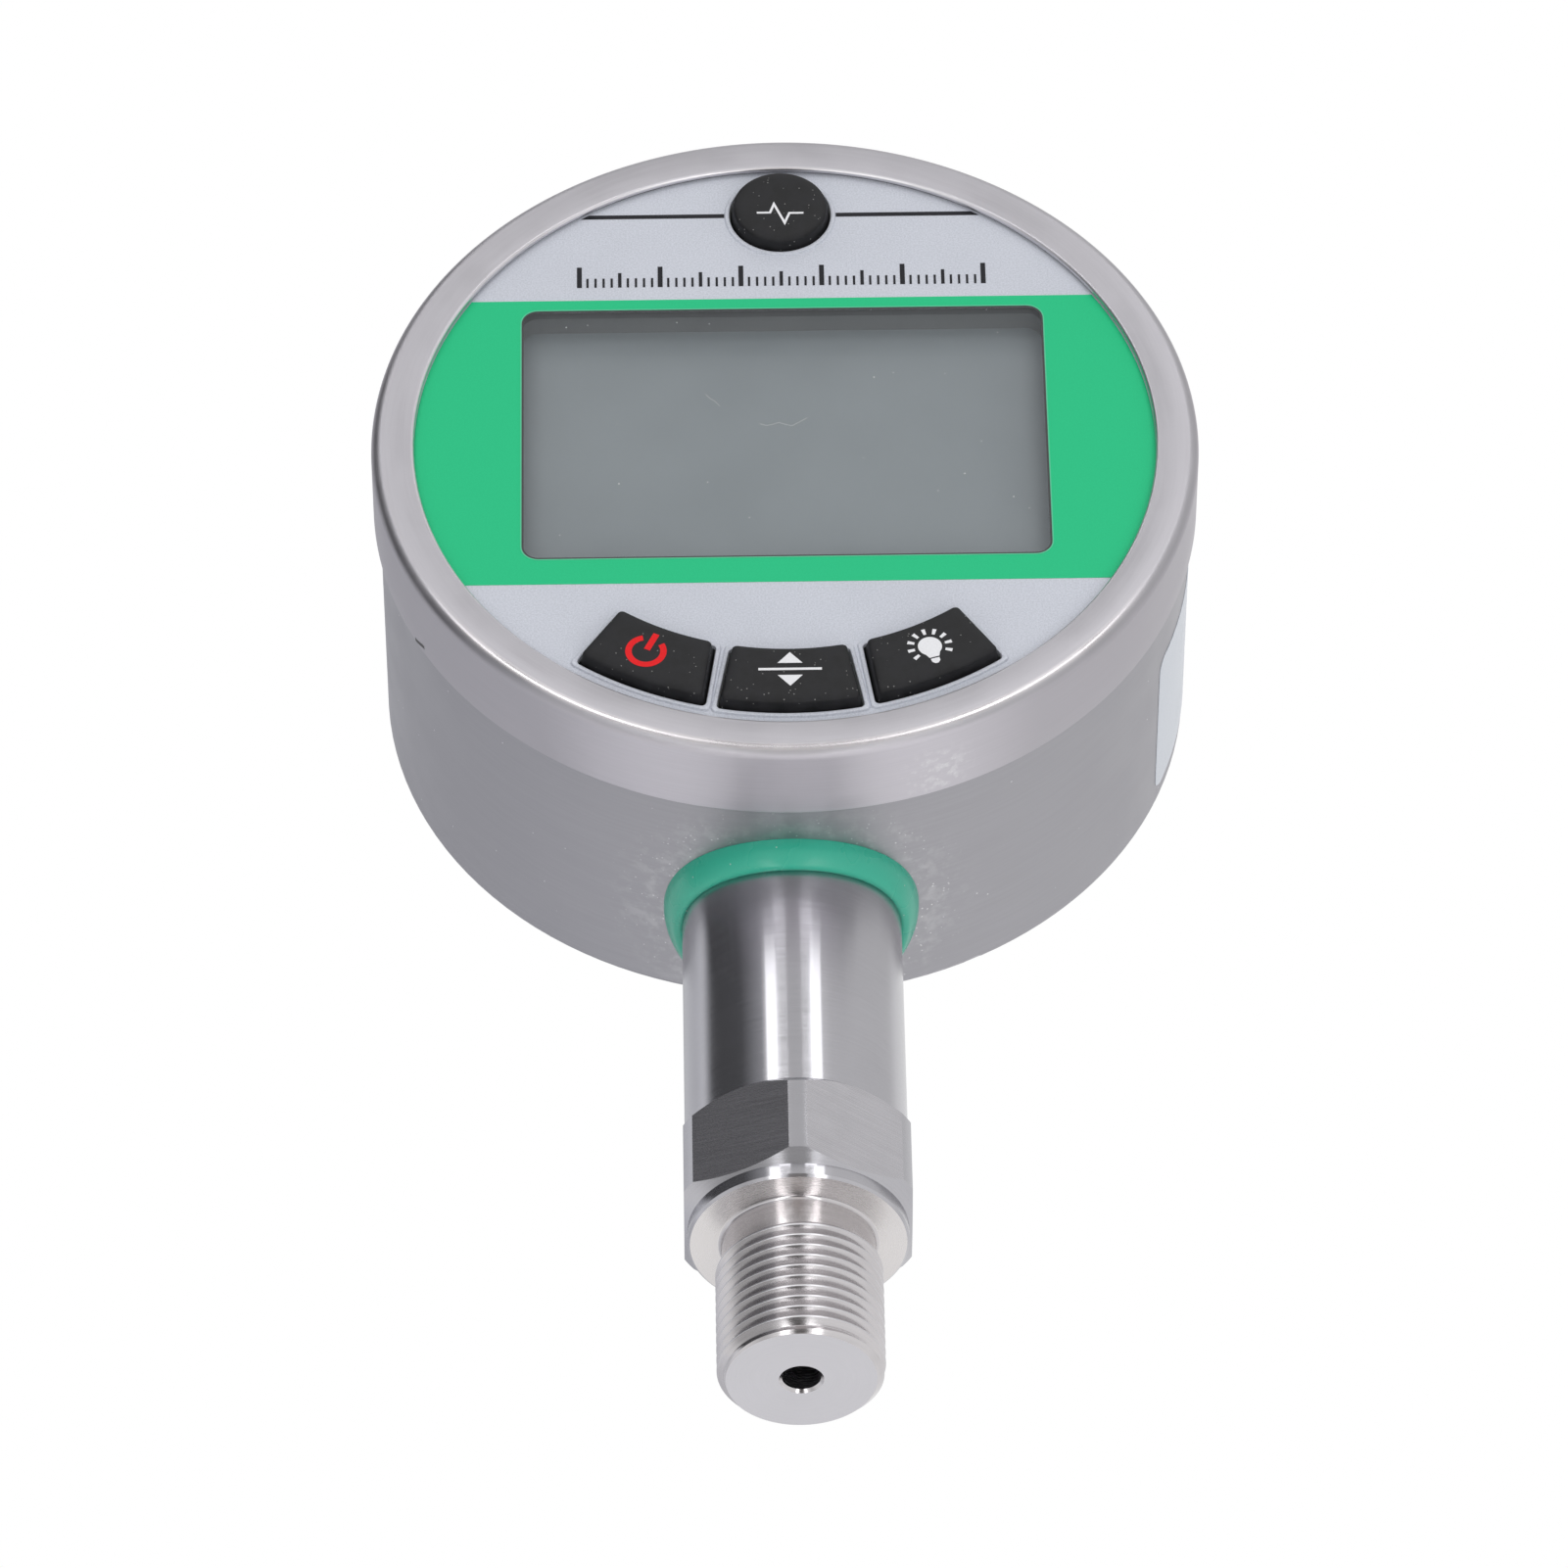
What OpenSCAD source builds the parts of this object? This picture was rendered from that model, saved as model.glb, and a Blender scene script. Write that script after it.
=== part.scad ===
/* [Case] */
// Outer diameter of the drawn case
case_od = 99.5; // [98:0.5:115]
// Depth of the case from the bezel face to the flat back
case_depth = 47.5; // [47:0.5:58]
// Thickness of the case sheet
case_wall = 0.8; // [0.6:0.1:1]
// Outside radius of the edge between the case side and its back
case_edge_r = 1.2; // [1.1:0.1:3]
// Height of the case axis above the end of the stem
axis_height = 119.1; // [115:0.5:140]
// Distance from the bezel face back to the stem axis
face_to_stem = 32.3; // [31:0.1:32.4]

/* [Bezel] */
// Thickness of the bezel face
bezel_face_t = 1; // [0.8:0.05:1.1]
// Thickness of the skirt round the case
skirt_t = 0.7; // [0.5:0.05:1]
// How far back the skirt reaches
skirt_depth = 11.3; // [8:0.1:16]
// Radius between the face and the skirt
bezel_corner_r = 1.4; // [1.1:0.1:2]
// Width of the bezel face, from the skirt to the lip
bezel_w = 5.25; // [4.5:0.05:5.6]
// How far the face swells in the middle of its width
crown_h = 0.25; // [0.1:0.05:0.3]

/* [Dial] */
// Thickness of the printed label
label_t = 0.3; // [0.2:0.05:0.5]
// Distance from each side of the display opening to the bezel lip
window_side_gap = 13.15; // [12.5:0.05:17]
// Height of the display opening as a share of its width
window_h_share = 0.634; // [0.54:0.002:0.65]
// Corner radius of the display opening
window_corner_r = 2; // [1:0.1:4]
// Height of the middle of the display above the case axis
window_up = 2; // [1:0.05:3]
// How far the printed band reaches above the display
band_above = 1.75; // [1:0.05:4]
// How far the printed band reaches below the display
band_below = 4.05; // [1:0.05:8]
// Depth of the display glass behind the bezel face
glass_depth = 5.2; // [4.6:0.1:5.8]

/* [Keys] */
// How far the keys stand proud of the label
key_rise = 2; // [1:0.1:3]
// Travel of a key when it is pressed
key_travel = 0.8; // [0.4:0.1:1]
// Radius of the round key
round_key_r = 6.05; // [5:0.05:6.4]
// Distance from the round key to the bezel lip
round_key_gap = 1; // [0.8:0.05:2]
// Distance from the curved keys to the bezel lip
arc_key_gap = 2.1; // [1.9:0.05:3]
// Height of the curved keys, measured towards the case axis
arc_key_h = 8.95; // [7:0.05:9.5]
// Width of the raised rim round each key
key_rim_w = 0.55; // [0.3:0.05:0.7]
// How far that rim stands proud of the label
key_rim_h = 0.3; // [0.1:0.05:0.6]

/* [Stem] */
// Diameter of the plain stem
stem_d = 26.6; // [25:0.1:26.8]
// Size of the hexagon across its flats
hex_af = 27; // [27:0.5:30]
// How much the turned corners of the hexagon stand over its flats
hex_over = 3; // [2:0.1:4]
// Height of the hexagon's top end
hex_top = 34.5; // [32:0.1:40]
// Height of the sealing shoulder above the end of the stem
shoulder_z = 20; // [19:0.5:23]
// Diameter of the flat sealing shoulder
shoulder_d = 25.7; // [24:0.1:26.4]
// Outer diameter of the connection thread
thread_d = 19.85; // [18:0.05:21]
// Pitch of the connection thread
thread_pitch = 1.5; // [1:0.5:2]
// Length of the relief groove between the thread and the shoulder
relief_l = 3.8; // [3:0.1:5]
// Diameter of the relief groove
relief_d = 18.2; // [16:0.1:18.4]
// Diameter of the pressure port
port_d = 4.6; // [3:0.1:7]
// How far the seal ring stands out from the stem
seal_w = 1.7; // [1.5:0.05:1.8]
// How far the seal ring stands below the case
seal_drop = 3.35; // [3:0.05:5]

/* [Power] */
// Diameter of one cell
cell_d = 14.5; // [13.5:0.1:14.6]
// Length of one cell
cell_l = 50.5; // [48:0.1:50.6]
// Distance from the battery tray's upper corners to the case wall
tray_corner_gap = 3.4; // [2.5:0.1:4]
// Thickness of the battery cover
cover_t = 1.6; // [1.2:0.1:3]

/* [Hidden] */
$fn = 96;

// Overrun of a cut past the face it opens
cut = 0.5;
// Overlap of two shapes that make up one solid
merge = 0.05;
// Radial clearance of a sliding or plugged fit
fit_gap = 0.05;
// Clearance round a loose piece
loose_gap = 0.2;

// Case and bezel radii
case_r = case_od / 2;
case_inner_r = case_r - case_wall;
back_inner = case_depth - case_wall;
bezel_r = case_r + fit_gap + skirt_t;
lip_r = bezel_r - bezel_w;

// The crowned face of the bezel lies between the lip's round edge and the outer corner
lip_edge_r = (bezel_face_t - crown_h) / 2;
face_from_r = lip_r + lip_edge_r;
face_to_r = bezel_r - bezel_corner_r;
face_mid_r = (face_from_r + face_to_r) / 2;
face_half_w = (face_to_r - face_from_r) / 2;
crown_arc_r = (face_half_w * face_half_w + crown_h * crown_h) / (2 * crown_h);

// Depths of the stack behind the bezel face
gasket_t = 0.2;
label_front = bezel_face_t + gasket_t;
label_back = label_front + label_t;
print_t = 0.05;
panel_flange_t = 1.1;
case_front = label_back + panel_flange_t;
window_flange_t = 1;
window_flange_w = 1.8;
glass_t = 2.8;
glass_margin = 2.2;
glass_back = glass_depth + glass_t;
strip_t = 4.5;
board_front = glass_back + strip_t;
board_t = 1.6;
board_back = board_front + board_t;

// Radii of the pieces inside the case
panel_gap = 0.15;
panel_r = case_inner_r - panel_gap;
panel_inset = 0.5;
panel_flange_r = case_r - panel_inset;
panel_skirt_t = 2;
panel_skirt_inner_r = panel_r - panel_skirt_t;
panel_skirt_l = 3.8;
label_inset = 0.75;
label_r = panel_flange_r - label_inset;
board_gap = 0.8;
board_r = panel_skirt_inner_r - board_gap;
boss_r = 3;
boss_margin = 0.4;
boss_angle = 16;
boss_place_r = board_r - boss_r - boss_margin;
boss_angles = [boss_angle, 180 - boss_angle, 180 + boss_angle, -boss_angle];

// Printed lines beside the round key
line_h = 0.62;
line_gap = 0.9;

// Display stack
window_w = 2 * (lip_r - window_side_gap);
window_h = window_w * window_h_share;
glass_w = window_w + 2 * glass_margin;
glass_h = window_h + 2 * glass_margin;
frame_wall = 1.5;
strip_w = 2;
backlight_gap = 0.4;

// Keys: the round one above and three curved ones below, at angles from straight down
round_key_up = lip_r - round_key_gap - round_key_r;
arc_outer_r = lip_r - arc_key_gap;
arc_inner_r = arc_outer_r - arc_key_h;
arc_mid_r = (arc_outer_r + arc_inner_r) / 2;
unit_half_angle = 11.5;
unit_tilt = 10.4;
side_from_angle = 13.9;
side_from_tilt = 8.4;
side_to_angle = 35.9;
side_to_tilt = 34.5;
side_mid_angle = (side_from_angle + side_to_angle) / 2;
key_well_gap = 0.15;
key_flange_w = 0.7;
key_flange_t = 0.9;
key_flange_gap = 0.1;
key_mat_t = 1;
key_post_r = 2.2;
key_top = label_front - key_rise;
key_flange_front = glass_depth + key_flange_gap;
key_flange_back = key_flange_front + key_flange_t;
key_edge = 0.4;

// Switches under the keys
switch_w = 6;
switch_h = 3.5;
switch_floor = 0.7;
plunger_r = 1.75;
plunger_proud = 1;
switch_front = board_front - switch_h;
plunger_front = switch_front - plunger_proud;
plunger_back = board_front - switch_floor - key_travel - loose_gap;

// Screws, by shank radius
m2_r = 1;
m3_r = 1.5;
m4_r = 2;
head_share = 1.85;
head_h_share = 1.05;
cross_l_share = 0.62;
cross_w_share = 0.36;
cross_depth_share = 0.5;
board_screw_l = 6;

// Ends of the stem and its seal, and the bracket's leg above them
seal_bottom = axis_height - case_r - seal_drop;
stem_inside = 11;
stem_top = seal_bottom + stem_inside;
bracket_leg_h = 22;
leg_top_up = stem_top + bracket_leg_h - axis_height;

// Battery tray: its upper corners lie near the case wall, and it holds as many cells as fit
// between there and the bracket's leg
cell_gap = 0.5;
tray_wall = 1.2;
tray_floor = 1.5;
tray_leg_gap = 1;
contact_room = 2.55;
tray_in_w = cell_l + 2 * contact_room;
tray_out_w = tray_in_w + 2 * tray_wall;
tray_top_up = sqrt(pow(case_inner_r - tray_corner_gap, 2) - pow(tray_out_w / 2, 2));
tray_room = tray_top_up - leg_top_up - tray_leg_gap - 2 * tray_wall - cell_gap;
cell_count = floor(tray_room / (cell_d + cell_gap));
tray_in_h = cell_count * (cell_d + cell_gap) + cell_gap;
tray_out_h = tray_in_h + 2 * tray_wall;
tray_up = tray_top_up - tray_out_h / 2;
cell_clear_back = 3.1;
cell_depth = back_inner - cell_clear_back - cell_d / 2;
tray_inner_front = cell_depth - cell_d / 2 - fit_gap;
tray_front = tray_inner_front - tray_floor;
tray_corner_r = 2;

// Cover of the tray, its gasket, its screws and the bosses that these go into
cover_boss_r = 3.6;
cover_boss_l = 9;
boss_sink = 0.1;
cover_screw_inset = 10;
cover_screw_x = tray_out_w / 2 + cover_boss_r - boss_sink;
cover_screw_y = tray_out_h / 2 - cover_screw_inset;
cover_side_margin = 4;
cover_end_margin = 2.8;
cover_w = 2 * (cover_screw_x + cover_side_margin);
cover_h = tray_in_h + 2 * cover_end_margin;
cover_corner_r = 12;
cover_gasket_t = 0.8;
cover_inset = 0.5;
cover_screw_l = 9;
contact_w = 9;
contact_h = 10;
contact_plate_t = 0.4;
contact_nub_r = 2.5;

// Chips on the back of the board: x, y, width, height and thickness as shares of its radius
chip_shares = [
    [0, 0.13, 0.3, 0.3, 0.035],
    [0.41, -0.13, 0.17, 0.13, 0.04],
    [-0.39, 0.2, 0.2, 0.15, 0.033],
    [0.43, 0.33, 0.13, 0.11, 0.048],
    [-0.17, -0.33, 0.11, 0.09, 0.026],
    [0.2, 0.52, 0.22, 0.09, 0.065]];

// Two leads from the tray to a socket on the board, which lies to one side of their start
lead_r = 0.6;
lead_pitch = 2.5;
lead_bend_r = 2;
lead_shift = 6;
lead_side_inset = 3;
lead_end_inset = 2;
battery_socket_x = lead_shift + lead_side_inset - tray_out_w / 2;
battery_socket_up = tray_up - tray_out_h / 2 + lead_end_inset;
battery_socket_w = 8;
battery_socket_h = 6;
socket_t = 4;
sensor_socket_w = 12;
sensor_socket_h = 4;

// Stem: heights above its end
stem_r = stem_d / 2;
thread_r = thread_d / 2;
thread_h_share = 0.6134;
crest_share = 0.125;
thread_root_r = thread_r - thread_h_share * thread_pitch;
thread_top = shoulder_z - relief_l;
end_chamfer = 1;
relief_r = relief_d / 2;
thread_run = thread_r - relief_r;
thread_turns = floor((thread_top - thread_run - end_chamfer) / thread_pitch);
relief_fillet = 0.5;
shoulder_r = shoulder_d / 2;
hex_corner_r = (hex_af + hex_over) / 2;
hex_r = hex_af / 2 / cos(30);
port_r = port_d / 2;
port_chamfer = 0.35;
seal_r = stem_r + seal_w;
pocket_r = 8;
pocket_l = 15;
pocket_floor = stem_top - pocket_l;
stem_screw_place_r = (pocket_r + stem_r) / 2;
stem_screw_l = 7;
stem_screw_angles = [-90, 30, 150];

// Seal ring through the case wall
seal_neck_gap = 0.9;
seal_neck_r = stem_r + seal_neck_gap;
seal_hole_r = seal_neck_r + fit_gap;
seal_flange_over = 1.1;
seal_flange_r = seal_r + seal_flange_over;
seal_flange_t = 1.5;

// Sensor in the top of the stem
retainer_t = 2;
retainer_in_r = 5;
capsule_under = 2;
capsule_r = pocket_r - fit_gap;
capsule_bottom = pocket_floor + capsule_under;
capsule_top = stem_top - retainer_t;
o_ring_wire_r = 0.9;
o_ring_up = 3;
o_ring_groove_w = 2.3;
capsule_seat_r = 6.5;

// Bracket that ties the stem to the back of the case
bracket_t = 2.5;
bracket_leg_t = 2;
bracket_side = 1.7;
bracket_half_w = stem_r + bracket_side;
bracket_hole_r = 6.5;
bracket_screw_x = 9;
bracket_screw_inset = 8;
bracket_screw_up = leg_top_up - bracket_screw_inset;
bracket_back_y = back_inner - face_to_stem;
bracket_screw_l = 3.2;

// Flat flex from the sensor up and forward to the board
flex_w = 8;
flex_t = 0.3;
flex_up = 7;
flex_z = stem_top + flex_up;
sensor_socket_up = flex_z - axis_height;

// Blank label on the side of the case
side_label_t = 0.1;
side_label_from = 20;
side_label_l = 24.4;
side_label_half_angle = 23.7;

// Places a child drawn in the dial plane, x to the right and y up, with its back at this depth
module at_depth(depth) {
    translate([0, depth - face_to_stem, axis_height]) rotate([90, 0, 0]) children();
}

// A flat piece between two depths behind the bezel face
module slab(front, back) {
    at_depth(back) linear_extrude(back - front) children();
}

// Turns a section drawn as radius and depth about the case axis
module turned() {
    at_depth(0) rotate_extrude() mirror([0, 1]) children();
}

// A rectangle with true round corners
module round_rect(w, h, r) {
    square([w - 2 * r, h], center = true);
    square([w, h - 2 * r], center = true);
    for (x = [-1, 1], y = [-1, 1]) translate([x * (w / 2 - r), y * (h / 2 - r)]) circle(r);
}

// Half section of a round plug with a rounded back edge
module plug_section(r, front, back, edge) {
    translate([0, front]) square([r, back - edge - front]);
    translate([0, back - edge - merge]) square([r - edge, edge + merge]);
    translate([r - edge, back - edge]) circle(edge);
}

// A pan-head screw that points along +z, with its head below z = 0 and a cross recess
module screw(r, length) {
    head_r = r * head_share;
    head_h = r * head_h_share;
    difference() {
        union() {
            translate([0, 0, -head_h]) cylinder(r = head_r, h = head_h);
            translate([0, 0, -merge]) cylinder(r = r - fit_gap, h = length + merge);
        }
        for (turn = [0, 90]) rotate([0, 0, turn])
            translate([-head_r * cross_l_share, -r * cross_w_share / 2, -head_h - cut])
                cube([2 * head_r * cross_l_share, r * cross_w_share,
                    head_h * cross_depth_share + cut]);
    }
}

// Where a curved key's side line starts on its outer arc
function arc_point(angle) = [arc_outer_r * sin(angle), -arc_outer_r * cos(angle)];

// Everything on the right of a key's side line, or on its left
module right_of(angle, tilt, grow) {
    translate(arc_point(angle)) rotate(tilt) translate([-grow, -case_r]) square(2 * case_r);
}
module left_of(angle, tilt, grow) {
    translate(arc_point(angle)) rotate(tilt) translate([grow - 2 * case_r, -case_r])
        square(2 * case_r);
}

// Outlines of the keys, grown by an allowance
module arc_band(grow) {
    difference() {
        circle(arc_outer_r + grow);
        circle(arc_inner_r - grow);
    }
}
module light_outline(grow) {
    intersection() {
        arc_band(grow);
        right_of(side_from_angle, side_from_tilt, grow);
        left_of(side_to_angle, side_to_tilt, grow);
    }
}
module power_outline(grow) {
    mirror([1, 0]) light_outline(grow);
}
module unit_outline(grow) {
    intersection() {
        arc_band(grow);
        right_of(-unit_half_angle, -unit_tilt, grow);
        left_of(unit_half_angle, unit_tilt, grow);
    }
}
module peak_outline(grow) {
    translate([0, round_key_up]) circle(round_key_r + grow);
}
module key_outlines(grow) {
    peak_outline(grow);
    power_outline(grow);
    unit_outline(grow);
    light_outline(grow);
}

// Middles of the keys, where their switches sit
peak_place = [0, round_key_up];
unit_place = [0, -arc_mid_r];
light_place = [arc_mid_r * sin(side_mid_angle), -arc_mid_r * cos(side_mid_angle)];
power_place = [-light_place[0], light_place[1]];
key_places = [peak_place, power_place, unit_place, light_place];

// The display opening and larger outlines on the same middle
module window_outline(grow) {
    translate([0, window_up])
        round_rect(window_w + 2 * grow, window_h + 2 * grow, window_corner_r + grow);
}
module display_rect(w, h) {
    translate([0, window_up]) square([w, h], center = true);
}

// Screw bosses of the front panel, seen from the front
module at_bosses() {
    for (angle = boss_angles)
        translate([boss_place_r * cos(angle), boss_place_r * sin(angle)]) children();
}

// Rolled stainless ring that holds the dial on the case
module bezel_ring() {
    color([0.74, 0.73, 0.74]) turned() {
        intersection() {
            translate([face_mid_r, crown_arc_r]) circle(crown_arc_r, $fn = 360);
            translate([face_from_r, 0]) square([2 * face_half_w + merge, bezel_face_t]);
        }
        translate([face_from_r, bezel_face_t - lip_edge_r]) circle(lip_edge_r);
        intersection() {
            translate([face_to_r, crown_h + bezel_corner_r]) difference() {
                circle(bezel_corner_r);
                circle(bezel_corner_r - skirt_t);
            }
            translate([face_to_r, 0]) square(crown_h + bezel_corner_r);
        }
        translate([bezel_r - skirt_t, crown_h + bezel_corner_r - merge])
            square([skirt_t, skirt_depth - skirt_t / 2 - crown_h - bezel_corner_r + merge]);
        translate([bezel_r - skirt_t / 2, skirt_depth - skirt_t / 2]) circle(skirt_t / 2);
    }
}

// Thin black gasket between the bezel lip and the label
module lip_gasket() {
    color([0.12, 0.12, 0.13]) slab(bezel_face_t, label_front) difference() {
        circle(label_r);
        circle(face_from_r);
    }
}

// Printed plastic label with a raised rim round each key
module face_label() {
    color([0.8, 0.81, 0.84]) difference() {
        union() {
            slab(label_front, label_back) circle(label_r);
            slab(label_front - key_rim_h, label_front + merge) intersection() {
                key_outlines(key_well_gap + key_rim_w);
                circle(face_from_r - loose_gap);
            }
        }
        slab(label_front - key_rim_h - cut, label_back + cut) {
            window_outline(fit_gap);
            key_outlines(key_well_gap);
        }
    }
}

// Green band printed across the label round the display
module band_print() {
    color([0.22, 0.78, 0.53]) slab(label_front - print_t, label_front) difference() {
        intersection() {
            circle(lip_r);
            translate([0, window_up + (band_above - band_below) / 2])
                square([2 * lip_r, window_h + band_above + band_below], center = true);
        }
        window_outline(fit_gap);
    }
}

// Two black lines printed beside the round key
module line_print() {
    line_from = round_key_r + line_gap;
    color([0.1, 0.1, 0.12]) slab(label_front - print_t, label_front) intersection() {
        circle(lip_r);
        for (side = [0, 1]) mirror([side, 0])
            translate([line_from, round_key_up - line_h / 2]) square([lip_r, line_h]);
    }
}

// Clear window, flush with the label, with a flange behind it
module window() {
    color([0.75, 0.8, 0.82, 0.35]) {
        slab(label_front, label_back + merge) window_outline(0);
        slab(label_back, label_back + window_flange_t) window_outline(window_flange_w);
    }
}

// Moulded carrier of the dial, with the key wells and the screw bosses for the board
module front_panel() {
    color([0.33, 0.34, 0.36]) {
        difference() {
            union() {
                slab(label_back, case_front) circle(panel_flange_r);
                slab(case_front - merge, glass_depth) circle(panel_r);
                slab(glass_depth - merge, glass_depth + panel_skirt_l) difference() {
                    circle(panel_r);
                    circle(panel_skirt_inner_r);
                }
                slab(glass_depth - merge, board_front) at_bosses() circle(boss_r);
            }
            slab(label_back - cut, glass_depth + cut) {
                window_outline(0);
                key_outlines(key_well_gap);
            }
            slab(label_back - cut, label_back + window_flange_t + fit_gap)
                window_outline(window_flange_w + fit_gap);
            slab(board_front - board_screw_l, board_front + cut) at_bosses() circle(m2_r);
        }
    }
}

// Rubber mat behind the panel, with an opening round each key's flange
module key_mat() {
    color([0.16, 0.16, 0.17]) slab(glass_depth, glass_depth + key_mat_t) difference() {
        circle(panel_skirt_inner_r - loose_gap);
        display_rect(glass_w + 2 * frame_wall + 2 * loose_gap,
            glass_h + 2 * frame_wall + 2 * loose_gap);
        key_outlines(key_flange_w + loose_gap);
        at_bosses() circle(boss_r + loose_gap);
    }
}

// Body of a key: the part in the well, its flange behind the panel and its post
module key_body(place) {
    color([0.15, 0.15, 0.16]) {
        slab(key_flange_back - merge, plunger_front) translate(place) circle(key_post_r);
        children();
    }
}
module peak_button() {
    key_body(peak_place) {
        slab(key_top + key_edge, key_flange_front + merge) peak_outline(0);
        slab(key_flange_front, key_flange_back) peak_outline(key_flange_w);
        at_depth(key_top + key_edge + merge) translate([0, round_key_up])
            cylinder(r1 = round_key_r, r2 = round_key_r - key_edge, h = key_edge + merge);
    }
}
module power_button() {
    key_body(power_place) {
        slab(key_top + key_edge, key_flange_front + merge) power_outline(0);
        slab(key_top, key_top + key_edge + merge) power_outline(-key_edge);
        slab(key_flange_front, key_flange_back) power_outline(key_flange_w);
    }
}
module unit_button() {
    key_body(unit_place) {
        slab(key_top + key_edge, key_flange_front + merge) unit_outline(0);
        slab(key_top, key_top + key_edge + merge) unit_outline(-key_edge);
        slab(key_flange_front, key_flange_back) unit_outline(key_flange_w);
    }
}
module light_button() {
    key_body(light_place) {
        slab(key_top + key_edge, key_flange_front + merge) light_outline(0);
        slab(key_top, key_top + key_edge + merge) light_outline(-key_edge);
        slab(key_flange_front, key_flange_back) light_outline(key_flange_w);
    }
}

// Plunger of a switch, which a key's post pushes
module plunger(place) {
    color([0.85, 0.84, 0.8]) slab(plunger_front, plunger_back) translate(place)
        circle(plunger_r);
}
module peak_plunger() plunger(peak_place);
module power_plunger() plunger(power_place);
module unit_plunger() plunger(unit_place);
module light_plunger() plunger(light_place);

// Display glass and the frame round it
module lcd_glass() {
    color([0.53, 0.56, 0.58]) slab(glass_depth, glass_back) display_rect(glass_w, glass_h);
}
module lcd_frame() {
    color([0.2, 0.2, 0.21]) slab(glass_depth, board_front) difference() {
        display_rect(glass_w + 2 * frame_wall, glass_h + 2 * frame_wall);
        display_rect(glass_w + 2 * fit_gap, glass_h + 2 * fit_gap);
    }
}

// Rubber contact strips between the glass and the board, above and below the backlight
module contact_strips() {
    color([0.6, 0.35, 0.45]) slab(glass_back, board_front) translate([0, window_up])
        for (side = [-1, 1]) translate([0, side * (glass_h - strip_w) / 2])
            square([window_w, strip_w], center = true);
}
module backlight() {
    color([0.92, 0.93, 0.9]) slab(glass_back, board_front)
        display_rect(window_w, glass_h - 2 * strip_w - 2 * backlight_gap);
}

// Round circuit board with its screw holes
module main_board() {
    color([0.1, 0.35, 0.2]) slab(board_front, board_back) difference() {
        circle(board_r);
        at_bosses() circle(m2_r + loose_gap);
    }
}

// Square switch bodies on the board, each with a bore for its plunger
module switch_housings() {
    color([0.12, 0.12, 0.13]) for (place = key_places) difference() {
        slab(switch_front, board_front) translate(place) square(switch_w, center = true);
        slab(switch_front - cut, board_front - switch_floor) translate(place)
            circle(plunger_r + fit_gap);
    }
}
module board_chips() {
    color([0.13, 0.13, 0.14]) for (share = chip_shares)
        slab(board_back, board_back + board_r * share[4])
            translate([board_r * share[0], board_r * share[1]])
                square([board_r * share[2], board_r * share[3]], center = true);
}
module board_sockets() {
    color([0.9, 0.89, 0.85]) slab(board_back, board_back + socket_t) {
        translate([battery_socket_x, battery_socket_up])
            square([battery_socket_w, battery_socket_h], center = true);
        translate([0, sensor_socket_up])
            square([sensor_socket_w, sensor_socket_h], center = true);
    }
}

// Screws through the board into the panel's bosses
module board_screws() {
    color([0.75, 0.75, 0.77]) at_depth(board_back) at_bosses()
        screw(m2_r, board_t + board_screw_l - loose_gap);
}

// Drawn stainless case with a flat back
module case_shell() {
    color([0.66, 0.66, 0.68]) difference() {
        turned() difference() {
            plug_section(case_r, case_front, case_depth, case_edge_r);
            plug_section(case_inner_r, case_front - cut, back_inner, case_edge_r - case_wall);
        }
        cylinder(r = seal_hole_r, h = axis_height - case_r / 2);
        slab(back_inner - cut, case_depth + cut) {
            translate([0, tray_up]) round_rect(tray_in_w, tray_in_h, tray_corner_r);
            at_cover_screws() circle(m3_r + loose_gap / 2);
            at_bracket_screws() circle(m4_r + loose_gap / 2);
        }
    }
}

module at_cover_screws() {
    for (x = [-1, 1], y = [-1, 1])
        translate([x * cover_screw_x, tray_up + y * cover_screw_y]) children();
}
module at_bracket_screws() {
    for (x = [-1, 1]) translate([x * bracket_screw_x, bracket_screw_up]) children();
}

// Open tray for the cells, on the inside of the back
module battery_tray() {
    color([0.2, 0.2, 0.22]) difference() {
        union() {
            slab(tray_front, back_inner) translate([0, tray_up])
                round_rect(tray_out_w, tray_out_h, tray_corner_r + tray_wall);
            slab(back_inner - cover_boss_l, back_inner) at_cover_screws() circle(cover_boss_r);
        }
        slab(tray_inner_front, back_inner + cut) translate([0, tray_up])
            round_rect(tray_in_w, tray_in_h, tray_corner_r);
        slab(back_inner - cover_screw_l + cut, back_inner + cut) at_cover_screws() circle(m3_r);
    }
}

// Heights of the cells above the case axis
cell_ups = [for (i = [0 : cell_count - 1])
    tray_up + (i - (cell_count - 1) / 2) * (cell_d + cell_gap)];

// Cells that lie side to side, with their raised ends turned in turn
module battery_cells() {
    cap_l = 1.2;
    cap_r = 2.7;
    color([0.25, 0.27, 0.3]) for (i = [0 : cell_count - 1]) {
        side = i % 2 == 0 ? 1 : -1;
        at_depth(cell_depth) translate([0, cell_ups[i]]) rotate([0, side * 90, 0]) {
            translate([0, 0, -cell_l / 2]) cylinder(r = cell_d / 2, h = cell_l - cap_l);
            cylinder(r = cap_r, h = cell_l / 2);
        }
    }
}

// A contact plate with a raised nub at each end of each cell
module battery_contacts() {
    nub_l = contact_room - contact_plate_t - fit_gap;
    color([0.8, 0.78, 0.7]) for (up = cell_ups, side = [0, 1]) mirror([side, 0, 0])
        at_depth(cell_depth) translate([tray_in_w / 2, up]) rotate([0, -90, 0]) {
            translate([-contact_w / 2, -contact_h / 2, 0])
                cube([contact_w, contact_h, contact_plate_t]);
            cylinder(r = contact_nub_r, h = contact_plate_t + nub_l);
        }
}

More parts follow.
